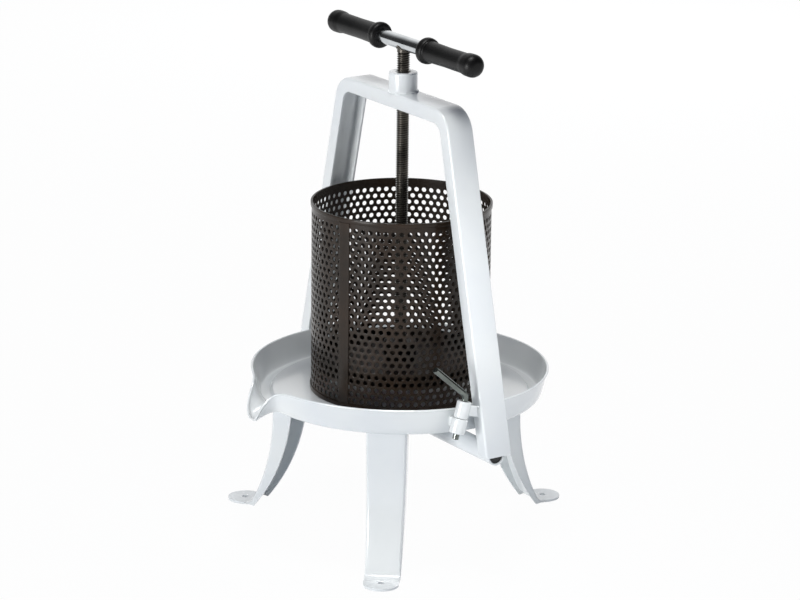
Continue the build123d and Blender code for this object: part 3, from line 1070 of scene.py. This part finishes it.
    def build(self) -> None:
        """Makes the arch, the nut, the tube and what is on it; the tube's top line ends at the web."""
        fit(self.arch(), Body.STAND, WHITE, "yoke")
        fit(self.nut(), Body.STAND, WHITE)
        half = self.reach(self.tube_axis + self.tube_radius) - self.wall / cos(radians(self.flare))
        place = crosswise(self.tube_axis)
        bore, radius = self.tube_bore, self.tube_radius
        walls = [(r, z, 0.5) for r, z in ((bore, -half), (radius, -half), (radius, half), (bore, half))]
        tube = Draft().lathe(walls, sides=48).piece("cross_tube_drawn", place)
        fit(tube, Body.STAND, WHITE, "cross_tube")
        end, (deep, middle) = half - self.plug_inset, self.plug_dish
        corners = [(0, end - self.plug, 0), (bore, end - self.plug, 0.6), (bore, end, 1.0)]
        corners += [(bore - self.plug_rim, end - deep, 0.4), (0, end - middle, 0)]
        for side in Side:
            turned = [(r, side.value * z, ease) for r, z, ease in corners]
            plug = Draft().lathe(turned, sides=40, closed=False)
            moulded = plug.piece(f"tube_plug_{side.word}_moulded", place)
            fit(moulded, Body.STAND, PLASTIC, f"tube_plug_{side.word}")
            fit(self.lug(side), Body.STAND, WHITE, f"pivot_lug_{side.word}")


@dataclass
class Lock:
    """Two barrels, one on the yoke and one on the tray, and the bent pin through both."""

    inset: float = 9.5
    standoff: float = 21.7
    seam_drop: float = 6.9
    tilt: float = 15.4
    upper_radius: float = 8.0
    upper_length: float = 19.0
    lower_radius: float = 8.75
    lower_length: float = 17.0
    gap: float = 0.4
    bore: float = 3.6
    bore_edge: float = 0.3
    barrel_edge: float = 1.1
    pin_radius: float = 3.5
    pin_tail: float = 7.0
    pin_neck: float = 6.5
    pin_bend: float = 9.0
    pin_handle: float = 54.0
    pin_angle: float = 64.3
    pin_chamfer: Pair = (0.7, 0.6)
    tab: Pair = (5.0, 12.0)
    tab_sunk: float = 3.0
    tab_weld: float = 5.4
    weld_seat: float = 0.3
    bracket: Pair = (8.0, 12.0)
    bracket_radius: float = 162.2
    plate_edge: float = 1.2
    yoke: Yoke = field(default_factory=Yoke)

    @property
    def place(self) -> Matrix:
        """Sets the barrels' axis, from the seam between them.

        Returns:
            Its place in the frame.
        """
        height = self.yoke.rim_height - self.seam_drop
        spot = (self.yoke.reach(height) - self.inset, -self.yoke.width / 2 - self.standoff, height)
        return TURNED @ Matrix.Translation(spot) @ Matrix.Rotation(-radians(self.tilt), 4, "X")

    def barrel(self, name: str, radius: float, low: float, high: float) -> Piece:
        """Turns one barrel with eased edges.

        Args:
            name: its name.
            radius: its outside.
            low: its lower end, from the seam.
            high: its upper end, from the seam.

        Returns:
            The object.
        """
        wall, inside = (radius, self.barrel_edge), (self.bore, self.bore_edge)
        ends = ((inside, low), (wall, low), (wall, high), (inside, high))
        return Draft().lathe([(r, z, ease) for (r, ease), z in ends], sides=40).piece(name, self.place)

    def plate(self, name: str, size: Pair, start: Vector, end: Vector) -> Piece:
        """Cuts a flat plate between two points.

        Args:
            name: its name.
            size: its thickness and height.
            start: the middle of one end, in the frame.
            end: the middle of the other.

        Returns:
            The object.
        """
        along = (end - start).normalized()
        across = along.cross(UP).normalized()
        up = across.cross(along)
        thick, high = size[0] / 2, size[1] / 2
        spots = ((-thick, -high), (thick, -high), (thick, high), (-thick, high))
        outline = eased([(*spot, self.plate_edge) for spot in spots], closed=True)
        rows = [[spot + across * x + up * z for x, z in outline] for spot in (start, end)]
        return Draft().bar(rows).piece(name)

    def pin(self) -> Piece:
        """Bends the pin: shank, bend and handle, with both ends broken square.

        Returns:
            The object.
        """
        tail, corner = -self.lower_length - self.pin_tail, self.upper_length + self.pin_neck
        lean = radians(self.pin_angle)
        way = Vector((-sin(lean), cos(lean)))
        length, inset = self.pin_chamfer
        end = Vector((0, corner)) + way * self.pin_handle
        route = [(0.0, tail, 0), (0.0, tail + length, 0), (0.0, corner, self.pin_bend)]
        route += [(*(end - way * length), 0), (*end, 0)]
        path = [Vector((0, y, z)) for y, z in eased(route, steps=12)]
        radii = [self.pin_radius] * len(path)
        radii[0] = radii[-1] = self.pin_radius - inset
        return Draft().tube(path, radii, sides=24).piece("lock_pin_bent", self.place)

    def tab_ends(self) -> tuple[Vector, Vector]:
        """The tab's run, from the upper barrel into the yoke's side."""
        high = self.upper_length / 2
        return self.place @ (UP * high), self.place @ Vector((0, self.standoff + self.tab_sunk, high))

    def bracket_ends(self) -> tuple[Vector, Vector]:
        """Finds the bracket's run, from the lower barrel to the tray's wall.

        Returns:
            Its two ends.
        """
        lower = self.place @ (UP * -self.lower_length / 2)
        wall = Vector((lower.x, lower.y, 0)).normalized() * self.bracket_radius
        wall.z = lower.z
        return lower, wall

    def welds(self) -> list[list[Vector]]:
        """Draws the beads where the tab meets the yoke.

        Returns:
            Their paths.
        """
        start, end = (TURNED.inverted() @ p for p in self.tab_ends())
        spot = start.lerp(end, (-self.yoke.width / 2 - start.y) / (end.y - start.y))
        heights = np.linspace(-self.tab_weld, self.tab_weld, 7)
        sides = (-self.tab[0] / 2, self.tab[0] / 2)
        return [[TURNED @ (spot + Vector((x, -self.weld_seat, z))) for z in heights] for x in sides]

    def build(self) -> None:
        """Makes the barrels, their plates and the pin."""
        upper = self.barrel("upper_knuckle_barrel", self.upper_radius, self.gap / 2, self.upper_length)
        fit(upper, Body.STAND, WHITE)
        lower = self.barrel("lower_knuckle_barrel", self.lower_radius, -self.lower_length, -self.gap / 2)
        fit(lower, Body.STAND, WHITE, "lower_knuckle")
        fit(self.plate("upper_knuckle_plate", self.tab, *self.tab_ends()), Body.STAND, WHITE)
        fit(self.plate("lower_knuckle_plate", self.bracket, *self.bracket_ends()), Body.STAND, WHITE)
        fit(self.pin(), Body.PIN, PIN_ZINC, "lock_pin")


@dataclass
class PressScrew:
    """Threaded screw with a plain grooved end in the hub, its top welded under the handle bar."""

    diameter: float = 14.3
    depth: float = 1.3
    pitch: float = 2.54
    thread_bottom: float = 221.5
    thread_top: float = 551.0
    neck_top: float = 556.0
    neck_lap: float = 1.0
    neck_inset: float = 0.05
    end: float = 197.7
    groove: Pair = (207.1, 212.0)
    groove_radius: float = 5.0
    bar_axis: float = 560.0
    bar_radius: float = 8.0
    weld_seat: float = 0.2
    sides: int = 36

    def thread(self) -> ShapeTree:
        """Builds the tree of a right-hand thread: four lines a pitch, two in the root, two on the crest.

        Returns:
            The tree.
        """
        shape = ShapeTree("screw_thread")
        tree = shape.tree
        diameter, depth, pitch, bottom, top = shape.sizes("Diameter", "Depth", "Pitch", "Bottom", "Top")
        sides, lines = shape.sizes("Sides", "Lines", kind="Int")
        across = add(tree, MATH, (sides, 1.0), operation="ADD")
        rows = add(tree, MATH, (lines, 1.0), operation="ADD")
        spread = {"Size X": sides, "Size Y": lines, "Vertices X": across, "Vertices Y": rows}
        sheet = add(tree, "GeometryNodeMeshGrid", spread)
        spot = add(tree, SPLIT_XYZ, [add(tree, "GeometryNodeInputPosition")])
        column = add(tree, MATH, (sides, 0.5, spot), operation="MULTIPLY_ADD")
        share = add(tree, MATH, (column, sides), operation="DIVIDE")
        row = add(tree, MATH, (lines, 0.5, spot.outputs[1]), operation="MULTIPLY_ADD")
        row = add(tree, MATH, [row], operation="ROUND")
        number = add(tree, MATH, (row, 4.0), operation="MODULO")
        crest = add(tree, MATH, (number, 1.5), operation="GREATER_THAN")
        # Within a pitch the lines stand at 0, 0.25, 0.5625 and 0.6875: a wide root and a narrow crest.
        shift = add(tree, MATH, (number, -0.125, 0.3125), operation="MULTIPLY_ADD")
        shift = add(tree, MATH, (shift, crest), operation="MULTIPLY")
        turns = add(tree, MATH, (row, 0.25, shift), operation="MULTIPLY_ADD")
        turns = add(tree, MATH, (turns, share), operation="ADD")
        turns = add(tree, MATH, (turns, 1.0), operation="SUBTRACT")
        climb = add(tree, MATH, (turns, pitch, bottom), operation="MULTIPLY_ADD")
        height = add(tree, "ShaderNodeClamp", (climb, bottom, top))
        # The root runs out over the first and the last turn.
        start = add(tree, MATH, (bottom, pitch), operation="ADD")
        stop = add(tree, MATH, (top, pitch), operation="SUBTRACT")
        over = add(tree, "ShaderNodeMapRange", (height, bottom, start, 0.0, 1.0))
        under = add(tree, "ShaderNodeMapRange", (height, top, stop, 0.0, 1.0))
        fade = add(tree, MATH, (over, under), operation="MULTIPLY")
        root = add(tree, MATH, (1.0, crest), operation="SUBTRACT")
        cut = add(tree, MATH, (root, fade), operation="MULTIPLY")
        cut = add(tree, MATH, (cut, depth), operation="MULTIPLY")
        radius = add(tree, MATH, (diameter, 0.5), operation="MULTIPLY")
        radius = add(tree, MATH, (radius, cut), operation="SUBTRACT")
        angle = add(tree, MATH, (share, FULL), operation="MULTIPLY")
        shape.roll(sheet, radius, angle, height, joint=2 * SAME)
        return shape

    def cut(self) -> Piece:
        """Runs the thread's tree and closes its ends.

        Returns:
            The object.
        """
        turns = ceil((self.thread_top - self.thread_bottom) / self.pitch) + 2
        sizes = {"Diameter": self.diameter, "Depth": self.depth, "Pitch": self.pitch}
        sizes |= {"Bottom": self.thread_bottom, "Top": self.thread_top}
        sizes |= {"Sides": self.sides, "Lines": 4 * turns}
        thread = self.thread().run("press_screw_thread", DARK, sizes)
        build = bmesh.new()
        build.from_mesh(thread.data)
        bmesh.ops.dissolve_degenerate(build, edges=build.edges, dist=SLIVER)
        bmesh.ops.holes_fill(build, edges=[e for e in build.edges if e.is_boundary], sides=0)
        bmesh.ops.recalc_face_normals(build, faces=build.faces)
        build.to_mesh(thread.data)
        build.free()
        smooth(thread, sharp=30)
        return thread

    def build(self) -> None:
        """Makes the thread, its plain ends and the weld under the bar."""
        fit(self.cut(), Body.SCREW, DARK, "press_screw")
        radius, inner, (low, high) = self.diameter / 2, self.groove_radius, self.groove
        neck_low, neck_radius = self.thread_top - self.neck_lap, radius - self.neck_inset
        neck = [(0, neck_low, 0), (neck_radius, neck_low, 0), (neck_radius, self.neck_top, 0)]
        neck += [(0, self.neck_top, 0)]
        tail = [
            (0, self.end, 0), (radius, self.end, 1.0), (radius, low, 0.3), (inner, low, 0.5),
            (inner, high, 0.5), (radius, high, 0.3), (radius, self.thread_bottom, 0),
            (0, self.thread_bottom, 0),
        ]
        ends = Draft().lathe(tail, self.sides, closed=False).lathe(neck, self.sides, closed=False)
        fit(ends.piece("screw_plain_ends"), Body.SCREW, DARK)
        saddle = []
        seat = radius + self.weld_seat
        for turn in np.linspace(0, FULL, 41):
            x, y = seat * cos(turn), seat * sin(turn)
            saddle.append(TURNED @ Vector((x, y, self.bar_axis - sqrt(self.bar_radius**2 - y**2))))
        bead = WeldBead(width=2.2, step=1.1, seed=3).build("handle_weld", [saddle], DARK)
        fit(bead, Body.SCREW, DARK)


@dataclass
class Handle:
    """Round bar across the screw's top with a moulded grip on each end."""

    axis: float = 560.0
    bar_radius: float = 8.0
    bar_half: float = 136.0
    grip_start: float = 42.0
    grip_end: float = 143.0
    collar: float = 14.75
    collar_width: float = 11.0
    body: float = 11.4
    waist: float = 0.3
    knob: float = 12.75
    knob_length: float = 22.0

    def grip(self, side: Side) -> Piece:
        """Moulds one grip: round collar, faintly waisted body, swollen round end.

        Args:
            side: which end of the bar it is on.

        Returns:
            The object.
        """
        start, end = self.grip_start, self.grip_end
        neck, swell = start + self.collar_width, end - self.knob_length
        corners = [
            (self.bar_radius, start, 0), (self.collar - 0.4, start, 4.6), (self.collar, start + 5.5, 12.0),
            (self.collar - 0.6, neck - 0.6, 4.2), (self.body + self.waist, neck + 0.4, 2.0),
            (self.body - self.waist, (neck + swell) / 2, 90.0), (self.body, swell - 1.0, 20.0),
            (self.knob - 0.1, swell + 5.0, 20.0), (self.knob, end - 10.5, 20.0),
            (self.knob - 0.2, end, 9.0), (0, end, 0),
        ]
        corners = [(r, side.value * z, ease) for r, z, ease in corners]
        draft = Draft().lathe(corners, sides=64, closed=False, steps=6)
        return draft.piece(f"grip_{side.word}_moulded", crosswise(self.axis), sharp=60)

    def build(self) -> None:
        """Makes the bar and both grips."""
        half, radius = self.bar_half, self.bar_radius
        corners = [(0, -half, 0), (radius, -half, 0.8), (radius, half, 0.8), (0, half, 0)]
        bar = Draft().lathe(corners, sides=64, closed=False)
        fit(bar.piece("handle_bar_drawn", crosswise(self.axis)), Body.SCREW, ZINC, "handle_bar")
        for side in Side:
            fit(self.grip(side), Body.SCREW, RUBBER, f"grip_{side.word}")


@dataclass
class Basket:
    """Rolled perforated sheet with a hoop at each end and a strap over its joint."""

    radius: float = 100.0
    bottom: float = 165.5
    height: float = 216.0
    sheet: float = 1.2
    band: float = 1.2
    band_height: float = 5.0
    columns: int = 72
    rows: int = 27
    row_pitch: float = 7.454
    hole: float = 5.4
    top_margin: float = 8.87
    seam_width: float = 14.0
    seam_azimuth: float = -68.5

    @property
    def top(self) -> float:
        """Height of the upper edge."""
        return self.bottom + self.height

    def perforation(self) -> ShapeTree:
        """Builds the tree of staggered holes: a cell round each hole, laid in rows, rolled to a cylinder.

        Returns:
            The tree.
        """
        shape = ShapeTree("perforated_sheet")
        tree = shape.tree
        radius, hole, pitch, row_pitch = shape.sizes("Radius", "Hole", "Pitch", "Row pitch")
        first, bottom, top = shape.sizes("First row", "Bottom", "Top")
        columns, rows = shape.sizes("Columns", "Rows", kind="Int")
        here = add(tree, "GeometryNodeInputPosition")
        half = add(tree, MATH, (hole, 0.5), operation="MULTIPLY")
        circle = add(tree, "GeometryNodeMeshCircle", {"Vertices": 12, "Radius": half})
        skirt = add(tree, "GeometryNodeExtrudeMesh", {"Mesh": circle, "Offset Scale": 0.0}, mode="EDGES")
        # The cell's outline has a point for each of the hole's 12: at its corners, middles and quarters.
        inverse = add(tree, MATH, (4.0, hole), operation="DIVIDE")
        steps = add(tree, "ShaderNodeVectorMath", {0: here, 3: inverse}, operation="SCALE")
        step = add(tree, SPLIT_XYZ, [steps])
        aside = add(tree, MATH, [step], operation="ROUND")
        aside = add(tree, MATH, (aside, pitch), operation="MULTIPLY")
        aside = add(tree, MATH, (aside, 0.25), operation="MULTIPLY")
        above = add(tree, MATH, [step.outputs[1]], operation="ROUND")
        above = add(tree, "ShaderNodeClamp", (above, -1.0, 1.0))
        above = add(tree, MATH, (above, row_pitch), operation="MULTIPLY")
        above = add(tree, MATH, (above, 0.5), operation="MULTIPLY")
        rim = add(tree, JOIN_XYZ, (aside, above))
        cell = add(tree, MOVE, {"Geometry": skirt, "Selection": skirt.outputs["Top"], "Position": rim})
        # One point for each hole, every second row half a pitch on. A hair keeps the rows' numbers whole.
        total = add(tree, MATH, (columns, rows), operation="MULTIPLY")
        number = add(tree, "GeometryNodeInputIndex")
        row = add(tree, MATH, (number, columns), operation="DIVIDE")
        row = add(tree, MATH, (row, 1e-4), operation="ADD")
        row = add(tree, MATH, [row], operation="FLOOR")
        before = add(tree, MATH, (row, columns), operation="MULTIPLY")
        column = add(tree, MATH, (number, before), operation="SUBTRACT")
        odd = add(tree, MATH, (row, 2.0), operation="MODULO")
        column = add(tree, MATH, (odd, 0.5, column), operation="MULTIPLY_ADD")
        right = add(tree, MATH, (column, pitch), operation="MULTIPLY")
        high = add(tree, MATH, (row, row_pitch, first), operation="MULTIPLY_ADD")
        spots = add(tree, JOIN_XYZ, (right, high))
        points = add(tree, "GeometryNodePoints", {"Count": total, "Position": spots})
        cells = add(tree, "GeometryNodeInstanceOnPoints", {"Points": points, "Instance": cell})
        flat = add(tree, "GeometryNodeRealizeInstances", [cells])
        # Plain margins below the first row and above the last.
        low = add(tree, MATH, (row_pitch, -0.5, first), operation="MULTIPLY_ADD")
        upper = add(tree, MATH, (rows, row_pitch, low), operation="MULTIPLY_ADD")
        across = add(tree, MATH, (columns, 4.0, 1.0), operation="MULTIPLY_ADD")
        length = add(tree, MATH, (columns, pitch), operation="MULTIPLY")
        middle = add(tree, MATH, (length, 0.5), operation="MULTIPLY")
        joined = add(tree, "GeometryNodeJoinGeometry", [flat])
        for start, stop in ((bottom, low), (upper, top)):
            deep = add(tree, MATH, (stop, start), operation="SUBTRACT")
            centre = add(tree, MATH, (deep, 0.5, start), operation="MULTIPLY_ADD")
            strip = {"Size X": length, "Size Y": deep, "Vertices X": across, "Vertices Y": 2}
            margin = add(tree, "GeometryNodeMeshGrid", strip)
            offset = add(tree, JOIN_XYZ, (middle, centre))
            moved = add(tree, "GeometryNodeTransform", {"Geometry": margin, "Translation": offset})
            tree.links.new(moved.outputs[0], joined.inputs[0])
        spot = add(tree, SPLIT_XYZ, [here])
        angle = add(tree, MATH, (spot, radius), operation="DIVIDE")
        shape.roll(joined, radius, angle, spot.outputs[1], joint=10 * SAME)
        return shape

    def shell(self) -> Piece:
        """Runs the tree and gives the sheet its thickness, inwards.

        Returns:
            The object.
        """
        first = self.top - self.top_margin - (self.rows - 0.5) * self.row_pitch
        sizes = {"Radius": self.radius, "Hole": self.hole, "Pitch": FULL * self.radius / self.columns}
        sizes |= {"Row pitch": self.row_pitch, "First row": first, "Bottom": self.bottom, "Top": self.top}
        sizes |= {"Columns": self.columns, "Rows": self.rows}
        shell = self.perforation().run("basket_perforated", BROWN, sizes)
        build = bmesh.new()
        build.from_mesh(shell.data)
        inside = [f for f in build.faces if f.normal.dot(Vector((*f.calc_center_median().xy, 0))) < 0]
        bmesh.ops.reverse_faces(build, faces=inside)
        build.to_mesh(shell.data)
        build.free()
        thicken(shell, self.sheet)
        smooth(shell, sharp=40)
        return shell

    def hoop(self, name: str, low: float, high: float) -> Piece:
        """Rolls a flat hoop with eased edges.

        Args:
            name: its name.
            low: height of its lower edge.
            high: height of its upper edge.

        Returns:
            The object.
        """
        inner, outer = self.radius, self.radius + self.band
        corners = [(inner, low, 0.1), (outer, low, 0.5), (outer, high, 0.5), (inner, high, 0.1)]
        return Draft().lathe(corners, sides=160).piece(name)

    def strap(self) -> Piece:
        """Cuts the strap over the sheet's joint.

        Returns:
            The object.
        """
        half = self.seam_width / 2
        corners = [(-half, 0, 0.1), (half, 0, 0.1), (half, self.band, 0.5), (-half, self.band, 0.5)]
        outline = eased(corners, closed=True)
        arms = [(radians(self.seam_azimuth) + x / self.radius, self.radius + y) for x, y in outline]
        ends = (self.bottom + self.band_height, self.top - self.band_height)
        rows = [[(r * cos(a), r * sin(a), z) for a, r in arms] for z in ends]
        return Draft().bar(rows).piece("seam_strap_folded")

    def build(self) -> None:
        """Makes the sheet, its hoops and the strap."""
        fit(self.shell(), Body.BASKET, BROWN, "basket_shell")
        for name, low in (("top", self.top - self.band_height), ("bottom", self.bottom)):
            hoop = self.hoop(f"basket_{name}_hoop", low, low + self.band_height)
            fit(hoop, Body.BASKET, BROWN)
        fit(self.strap(), Body.BASKET, BROWN)


@dataclass
class PressPlate:
    """Round plate with a turned-up edge, and the hub in which the screw's end turns."""

    bottom: float = 190.5
    radius: float = 94.8
    sheet: float = 4.0
    upstand: float = 16.0
    hub_radius: float = 18.0
    hub_height: float = 26.0
    bore: float = 7.2
    bore_floor: float = 3.0

    def build(self) -> None:
        """Makes the plate with its hub."""
        floor, top = self.bottom + self.sheet, self.bottom + self.upstand
        hub_top, inner, seat = floor + self.hub_height, self.radius - self.sheet, floor + self.bore_floor
        corners = [
            (0, self.bottom, 0), (self.radius, self.bottom, 3.0), (self.radius, top, 1.4),
            (inner, top, 1.4), (inner, floor, 3.0), (self.hub_radius, floor, 1.6),
            (self.hub_radius, hub_top, 1.6), (self.bore, hub_top, 0.6), (self.bore, seat, 0.2),
            (0, seat, 0),
        ]
        plate = Draft().lathe(corners, sides=128, closed=False).piece("press_plate_faced", TURNED)
        fit(plate, Body.RAM, STEEL, "press_plate")


@dataclass(frozen=True)
class Softbox:
    """A soft lamp that faces the press.

    Attributes:
        name: its name.
        place: where it hangs, in metres.
        size: its width and height in metres.
        power: in watts.
        shine: whether glossy surfaces mirror it.
    """

    name: str
    place: Triple
    size: Pair
    power: float
    shine: bool = True

    def hang(self, target: Triple) -> None:
        """Hangs the lamp.

        Args:
            target: the point that it faces, in metres.
        """
        data = bpy.data.lights.new(self.name, "AREA")
        data.shape, data.energy = "RECTANGLE", self.power
        data.size, data.size_y = self.size
        lamp = bpy.data.objects.new(self.name, data)
        lamp.visible_camera, lamp.visible_glossy = False, self.shine
        bpy.context.scene.collection.objects.link(lamp)
        turn = (Vector(target) - Vector(self.place)).to_track_quat("-Z", "Y")
        lamp.matrix_world = Matrix.Translation(self.place) @ turn.to_matrix().to_4x4()


@dataclass
class Studio:
    """Pale floor, white surround, soft lamps and the camera, in metres."""

    eye: Triple = (3.2213, -1.8826, 1.3706)
    heading: Pair = (-0.8634, 0.5044)
    pitch: float = 16.49
    roll: float = 0.683
    lens: float = 156.4
    sensor: float = 36.0
    middle: Triple = (0.0, 0.0, 0.28)
    white: str = "#ffffff"
    sky: str = "#d0dcfa"
    ambient: float = 0.12
    room: float = 0.04
    sweep: Pair = (0.5, 0.85)
    floor_half: float = 6.0
    floor_drop: float = 0.0003
    floor_colour: str = "#e0e4e8"
    floor_glow: float = 0.97
    lamps: tuple[Softbox, ...] = (
        Softbox("low_softbox", (0.65, -2.95, 0.45), (1.2, 0.8), 57),
        Softbox("side_softbox", (0.43, 0.08, 0.36), (0.3, 0.2), 0.75, shine=False),
        Softbox("top_softbox", (0.3, -0.25, 2.2), (0.6, 0.6), 19),
        Softbox("back_softbox", (-2.5, 1.9, 1.0), (1.6, 0.4), 45, shine=False),
    )

    def camera(self) -> None:
        """Sets the camera where the photograph was taken from."""
        data = bpy.data.cameras.new("camera")
        data.lens, data.sensor_width = self.lens, self.sensor
        camera = bpy.data.objects.new("camera", data)
        bpy.context.scene.collection.objects.link(camera)
        down, lean = radians(self.pitch), radians(self.roll)
        ahead = Vector((*self.heading, 0)).normalized() * cos(down) - UP * sin(down)
        right = ahead.cross(UP).normalized()
        up = right.cross(ahead)
        right, up = right * cos(lean) + up * sin(lean), up * cos(lean) - right * sin(lean)
        turn = Matrix((right, up, -ahead)).transposed().to_4x4()
        camera.matrix_world = Matrix.Translation(self.eye) @ turn
        bpy.context.scene.camera = camera

    def seen(self, tree: Tree) -> Node:
        """Finds the rays that look at the surround: from the camera, a gloss or glass.

        Args:
            tree: the surround's tree.

        Returns:
            A node that gives one for them.
        """
        path = add(tree, "ShaderNodeLightPath").outputs
        either = add(tree, MATH, (path["Is Camera Ray"], path["Is Glossy Ray"]), operation="MAXIMUM")
        return add(tree, MATH, (either, path["Is Transmission Ray"]), operation="MAXIMUM")

    def surround(self) -> None:
        """Makes the world: white to look at, dim behind the camera, and of a lower level to light by."""
        world = bpy.data.worlds.new("studio")
        bpy.context.scene.world = world
        tree = emptied(world)
        looking = add(tree, "ShaderNodeTexCoord").outputs["Generated"]
        ahead = (looking, (*self.heading, 0.0))
        facing = add(tree, "ShaderNodeVectorMath", ahead, operation="DOT_PRODUCT").outputs["Value"]
        sweep = add(tree, "ShaderNodeMapRange", (facing, *self.sweep, self.room, 1.0))
        plain = add(tree, "ShaderNodeLightPath").outputs["Is Camera Ray"]
        level = add(tree, MATH, (sweep, plain), operation="MAXIMUM")
        white = add(tree, "ShaderNodeBackground", {"Color": linear(self.white), "Strength": level})
        dim = add(tree, "ShaderNodeBackground", {"Color": linear(self.sky), "Strength": self.ambient})
        mix = add(tree, "ShaderNodeMixShader", (self.seen(tree), dim, white))
        add(tree, "ShaderNodeOutputWorld", {"Surface": mix})

    def floor(self) -> None:
        """Lays a pale sweep under the press: nearly white to look at, and it keeps a soft shadow."""
        half, low = self.floor_half / MM, -self.floor_drop / MM
        floor = Draft().grid([[(x, y, low) for x in (-half, half)] for y in (-half, half)]).piece("floor")
        material = bpy.data.materials.new("pale_floor")
        tree = emptied(material)
        matt = add(tree, "ShaderNodeBsdfDiffuse", {"Color": linear(self.floor_colour)})
        glow = add(tree, "ShaderNodeEmission", {"Color": linear(self.white), "Strength": 1.0})
        share = add(tree, MATH, (self.seen(tree), self.floor_glow), operation="MULTIPLY")
        mix = add(tree, "ShaderNodeMixShader", (share, matt, glow))
        add(tree, "ShaderNodeOutputMaterial", {"Surface": mix})
        floor.data.materials.append(material)

    def build(self) -> None:
        """Sets up everything that isn't the press."""
        self.camera()
        self.surround()
        self.floor()
        for lamp in self.lamps:
            lamp.hang(self.middle)
        bpy.context.scene.view_settings.view_transform = "Standard"


def main() -> None:
    """Builds the press piece by piece, then the studio round it."""
    logging.basicConfig(level=logging.INFO, format="%(name)s: %(message)s")
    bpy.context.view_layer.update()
    MATERIALS.update({finish: finish.build() for finish in FINISHES})
    DripTray().build()
    legs = [Leg("leg_front_right", -35.5), Leg("leg_front_left", -144.5), Leg("leg_rear", 90.0)]
    for leg in legs:
        leg.build()
    yoke = Yoke()
    yoke.build()
    lock = Lock(yoke=yoke)
    lock.build()
    PressScrew().build()
    Handle().build()
    Basket().build()
    PressPlate().build()
    paths = [yoke.nut_weld(), *yoke.lug_welds(), *lock.welds(), *(leg.weld() for leg in legs)]
    fit(WeldBead().build("stand_welds", paths, WHITE), Body.STAND, WHITE)
    Studio().build()


if __name__ == "__main__":
    main()
